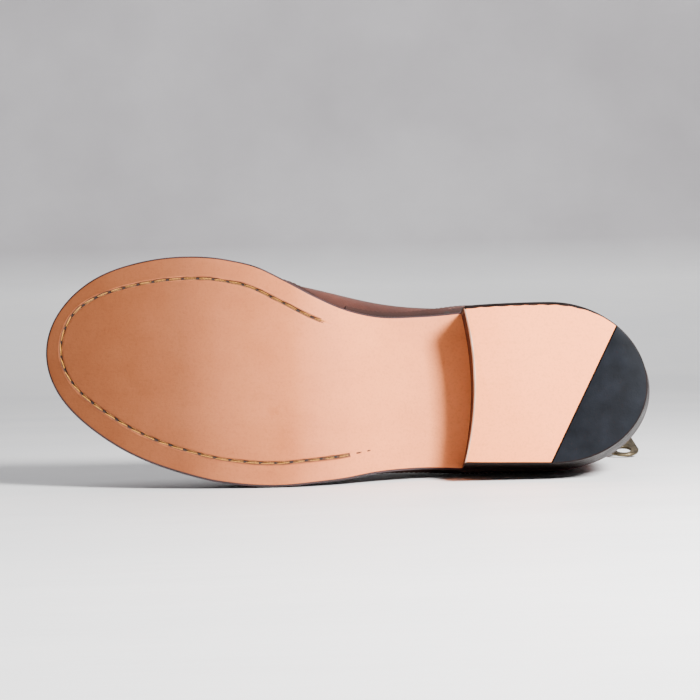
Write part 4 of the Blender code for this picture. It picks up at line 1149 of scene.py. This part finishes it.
def make_slider():
    half = SLIDER_WIDTH / 2
    end = SLIDER_LENGTH / 2
    corners = [(-half, end), (half, end), (half * 0.9, -end + 4.5), (half * 0.55, -end), (-half * 0.55, -end),
               (-half * 0.9, -end + 4.5)]
    outline = rounded(corners, (2.6, 2.6, 2.2, 1.4, 1.4, 2.2), 6)
    local_piece(plate("slider_plate", [outline], SLIDER_PLATE, 0.45), BASE + OUT * SLIDER_PLATE / 2,
                (ACROSS, ALONG, OUT), "boot", "zip_slider")
    rise = SLIDER_PLATE + BRIDGE_RISE
    end = BRIDGE_LENGTH / 2
    low = SLIDER_PLATE - 0.3
    near = end - BRIDGE_STRAP - 0.2
    outer = rounded([(-end, low), (-end, rise), (end, rise), (end, low)], (0.2, 2.4, 2.4, 0.2), 7)
    inner = rounded([(near, low), (near, rise - BRIDGE_STRAP), (-near, rise - BRIDGE_STRAP), (-near, low)],
                    (0.1, 1.2, 1.2, 0.1), 5)
    local_piece(plate("slider_bridge", [outer + inner], BRIDGE_WIDTH, 0.35), BASE, (ALONG, OUT, ACROSS),
                "boot", "zip_slider")
    near = TEETH_WIDTH / 2 + 0.3
    far = near + 1.7
    for sign, name in ((-1, "slider_flange_lateral"), (1, "slider_flange_medial")):
        corners = [(near * sign, -2.2), (far * sign, -2.2), (far * sign, 0.9), (near * sign, 0.9)]
        flange = plate(name, [rounded(corners, (0.2, 0.9, 0.9, 0.2), 4)], SLIDER_LENGTH - 7, 0.3)
        local_piece(flange, BASE, (ACROSS, OUT, ALONG), "boot", "zip_slider")


def bail_corners():
    reach = math.hypot(BRIDGE_WIDTH, BRIDGE_STRAP) / 2 + 0.3 + BAIL_WIRE / 2
    wide = (BAIL_TOP - BAIL_WIRE) / 2
    foot = (BAIL_FOOT - BAIL_WIRE) / 2
    top = -reach
    low = top + BAIL_LENGTH - BAIL_WIRE
    slope = (wide - foot) / (low - top)
    middle = wide - reach * math.hypot(1, slope) + slope * top
    return [(middle - wide, top), (middle + wide, top), (middle + foot, low), (middle - foot, low)]


def make_bail():
    route = rounded(bail_corners(), (BAIL_CORNER, BAIL_CORNER, BAIL_FOOT_CORNER, BAIL_FOOT_CORNER), 8)
    wire = curve_object("bail_wire", "3D", [[(point[0], point[1]) for point in route]],
                        bevel_depth=BAIL_WIRE / 2, bevel_resolution=5)
    local_piece(wire, HINGE, (OUT, -ACROSS, OUT.cross(-ACROSS)), "bail", "zip_bail")


def make_tab():
    corners = bail_corners()
    foot = (Vector(corners[2]) + Vector(corners[3])) / 2
    pivot = HINGE + OUT * foot[0] - ACROSS * foot[1]
    lean = math.radians(TAB_LEAN_DEG)
    down = (-ACROSS * math.cos(lean) - ALONG * math.sin(lean)).normalized()
    inner = BAIL_WIRE / 2 + 0.3
    outer = inner + TAB_PLATE
    neck = TAB_BARREL / 2
    shoulder = TAB_TOP_WIDTH / 2
    end = TAB_WIDTH / 2
    centre = TAB_LENGTH - end * 0.82
    outline = [(-neck, inner + 0.5), (neck, inner + 0.5), (neck + 0.5, outer + 0.1),
               (shoulder - 0.7, outer + 0.75), (shoulder, outer + 1.5)]
    for step in range(25):
        turn = math.pi * step / 24
        outline.append((end * math.cos(turn), centre + end * 0.82 * math.sin(turn)))
    outline += [(-shoulder, outer + 1.5), (-shoulder + 0.7, outer + 0.75), (-neck - 0.5, outer + 0.1)]
    hole = [(3.8 * math.cos(turn), centre + 1.0 - 3.2 * math.sin(turn)) for turn in circle(32)]
    local_piece(plate("tab_plate", [outline, hole], TAB_PLATE, 0.35), pivot, (OUT, down, OUT.cross(down)),
                "tab", "zip_tab")
    rims = [[(outer * math.cos(turn), outer * math.sin(turn)) for turn in circle(40)],
            [(inner * math.cos(turn), -inner * math.sin(turn)) for turn in circle(32)]]
    local_piece(plate("tab_barrel", rims, TAB_BARREL, 0.3), pivot, (down, OUT.cross(down), OUT),
                "tab", "zip_tab")


# The stage, the light and the camera.

WALL_FOOT = 0.125
FLOOR_END = 0.8
WALL_BEND = 0.5
CAMERA_EYE = (142.5, -76.0, -821.9)
CAMERA_TILT_DEG = 6.4
FOCAL_PIXELS = 1790.0
PICTURE_PIXELS = 700.0
SENSOR = 36.0


def make_stage():
    """A pale floor that bends up into a wall."""
    made = Finish("studio_paper", rough=0.5)
    floor = made.ramp(made.noise(9.0, 5.0, 0.6, (0.35, 1.0, 1.0)),
                      (0.35, (0.84, 0.85, 0.87)), (0.65, (0.92, 0.92, 0.93)))
    wall = made.ramp(made.noise(4.0, 5.0), (0.3, (0.47, 0.45, 0.475)), (0.7, (0.62, 0.605, 0.63)))
    rise = made.ramp(made.maths("MULTIPLY", made.along("Z"), 2.0),
                     (WALL_FOOT * 2.0 - 0.04, 0.0), (WALL_FOOT * 2.0 + 0.06, 1.0))
    made.feed("Base Color", made.mix(rise, floor, wall, "MIX"))
    made.bump((made.noise(40.0, 4.0, 0.6, (0.2, 1.0, 1.0)), 0.0008))
    profile = [(-2.2, 0.0), (-0.5, 0.0), (0.5, 0.0), (FLOOR_END, 0.0)]
    for step in range(1, 13):
        turn = math.pi / 2 * step / 12
        profile.append((FLOOR_END + WALL_BEND * math.sin(turn), WALL_BEND * (1 - math.cos(turn))))
    profile.append((FLOOR_END + WALL_BEND, 3.2))
    points = [(x, y, z) for y, z in profile for x in (-3.0, 3.0)]
    data = bpy.data.meshes.new("studio_floor")
    data.from_pydata(points, [], [(2 * i, 2 * i + 1, 2 * i + 3, 2 * i + 2) for i in range(len(profile) - 1)])
    data.shade_smooth()
    data.materials.append(made.material)
    link_object("studio_floor", data)


def area_light(name, place, target, size, power, colour=(1.0, 1.0, 1.0)):
    data = bpy.data.lights.new(name, "AREA")
    data.shape = "RECTANGLE"
    data.size, data.size_y = size
    data.energy = power
    data.color = colour
    made = link_object(name, data)
    made.location = place
    made.rotation_euler = (Vector(target) - Vector(place)).to_track_quat("-Z", "Y").to_euler()


def make_light():
    world = bpy.data.worlds.new("studio")
    bpy.context.scene.world = world
    world.use_nodes = True
    background = world.node_tree.nodes["Background"]
    background.inputs["Color"].default_value = (0.93, 0.95, 1.0, 1.0)
    background.inputs["Strength"].default_value = 0.10
    area_light("window", (0.42, -0.56, 0.46), (0.03, -0.04, 0.05), (0.20, 0.20), 27.0, (1.0, 0.985, 0.965))
    area_light("overhead", (0.0, 0.60, 1.3), (0, 0.40, 0), (1.8, 1.2), 12.0)


def make_camera():
    """The photograph's camera, found on the upright boot and laid down with it."""
    tilt = math.radians(CAMERA_TILT_DEG)
    turn = REST.to_3x3()
    right = turn @ Vector((-1, 0, 0))
    up = turn @ Vector((0, math.cos(tilt), -math.sin(tilt)))
    ahead = turn @ Vector((0, math.sin(tilt), math.cos(tilt)))
    data = bpy.data.cameras.new("camera")
    data.sensor_width = SENSOR
    data.lens = FOCAL_PIXELS / PICTURE_PIXELS * SENSOR
    data.clip_start = 0.01
    data.clip_end = 20.0
    made = link_object("camera", data)
    matrix = Matrix((right, up, -ahead)).transposed().to_4x4()
    matrix.translation = REST @ (Vector(CAMERA_EYE) * MM)
    made.matrix_world = matrix
    bpy.context.scene.camera = made


def main():
    make_camera()
    make_stage()
    make_light()
    upper_tree = tree_of(make_upper())
    start = math.radians(WING_EDGE[0][0])
    make_cover("wing_cover", WING_EDGE, (start, 2 * math.pi - start), 26, "wing_tip")
    end = math.radians(COUNTER_EDGE[-1][0])
    make_cover("counter_cover", COUNTER_EDGE, (-end, end), 22, "heel_counter")
    make_band(upper_tree)
    make_facings()
    make_outsole()
    make_sole_stitches()
    make_welt()
    make_lifts()
    make_top_piece("top_piece_leather", "top_piece", -1, [TREAD, HEEL, FIBRE])
    make_top_piece("top_piece_quarter", "top_piece_rubber", 1, [RUBBER, HEEL, HEEL])
    make_tape()
    make_teeth()
    make_slider()
    make_bail()
    make_tab()
    stitches.make("upper_stitches", THREAD)
    # The brogue holes are dark discs of painted shade.
    holes.make("brogue_holes", HOLE_SHADE)
    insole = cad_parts["insole"]
    insole.data.materials.clear()
    insole.data.materials.append(LINING)


main()
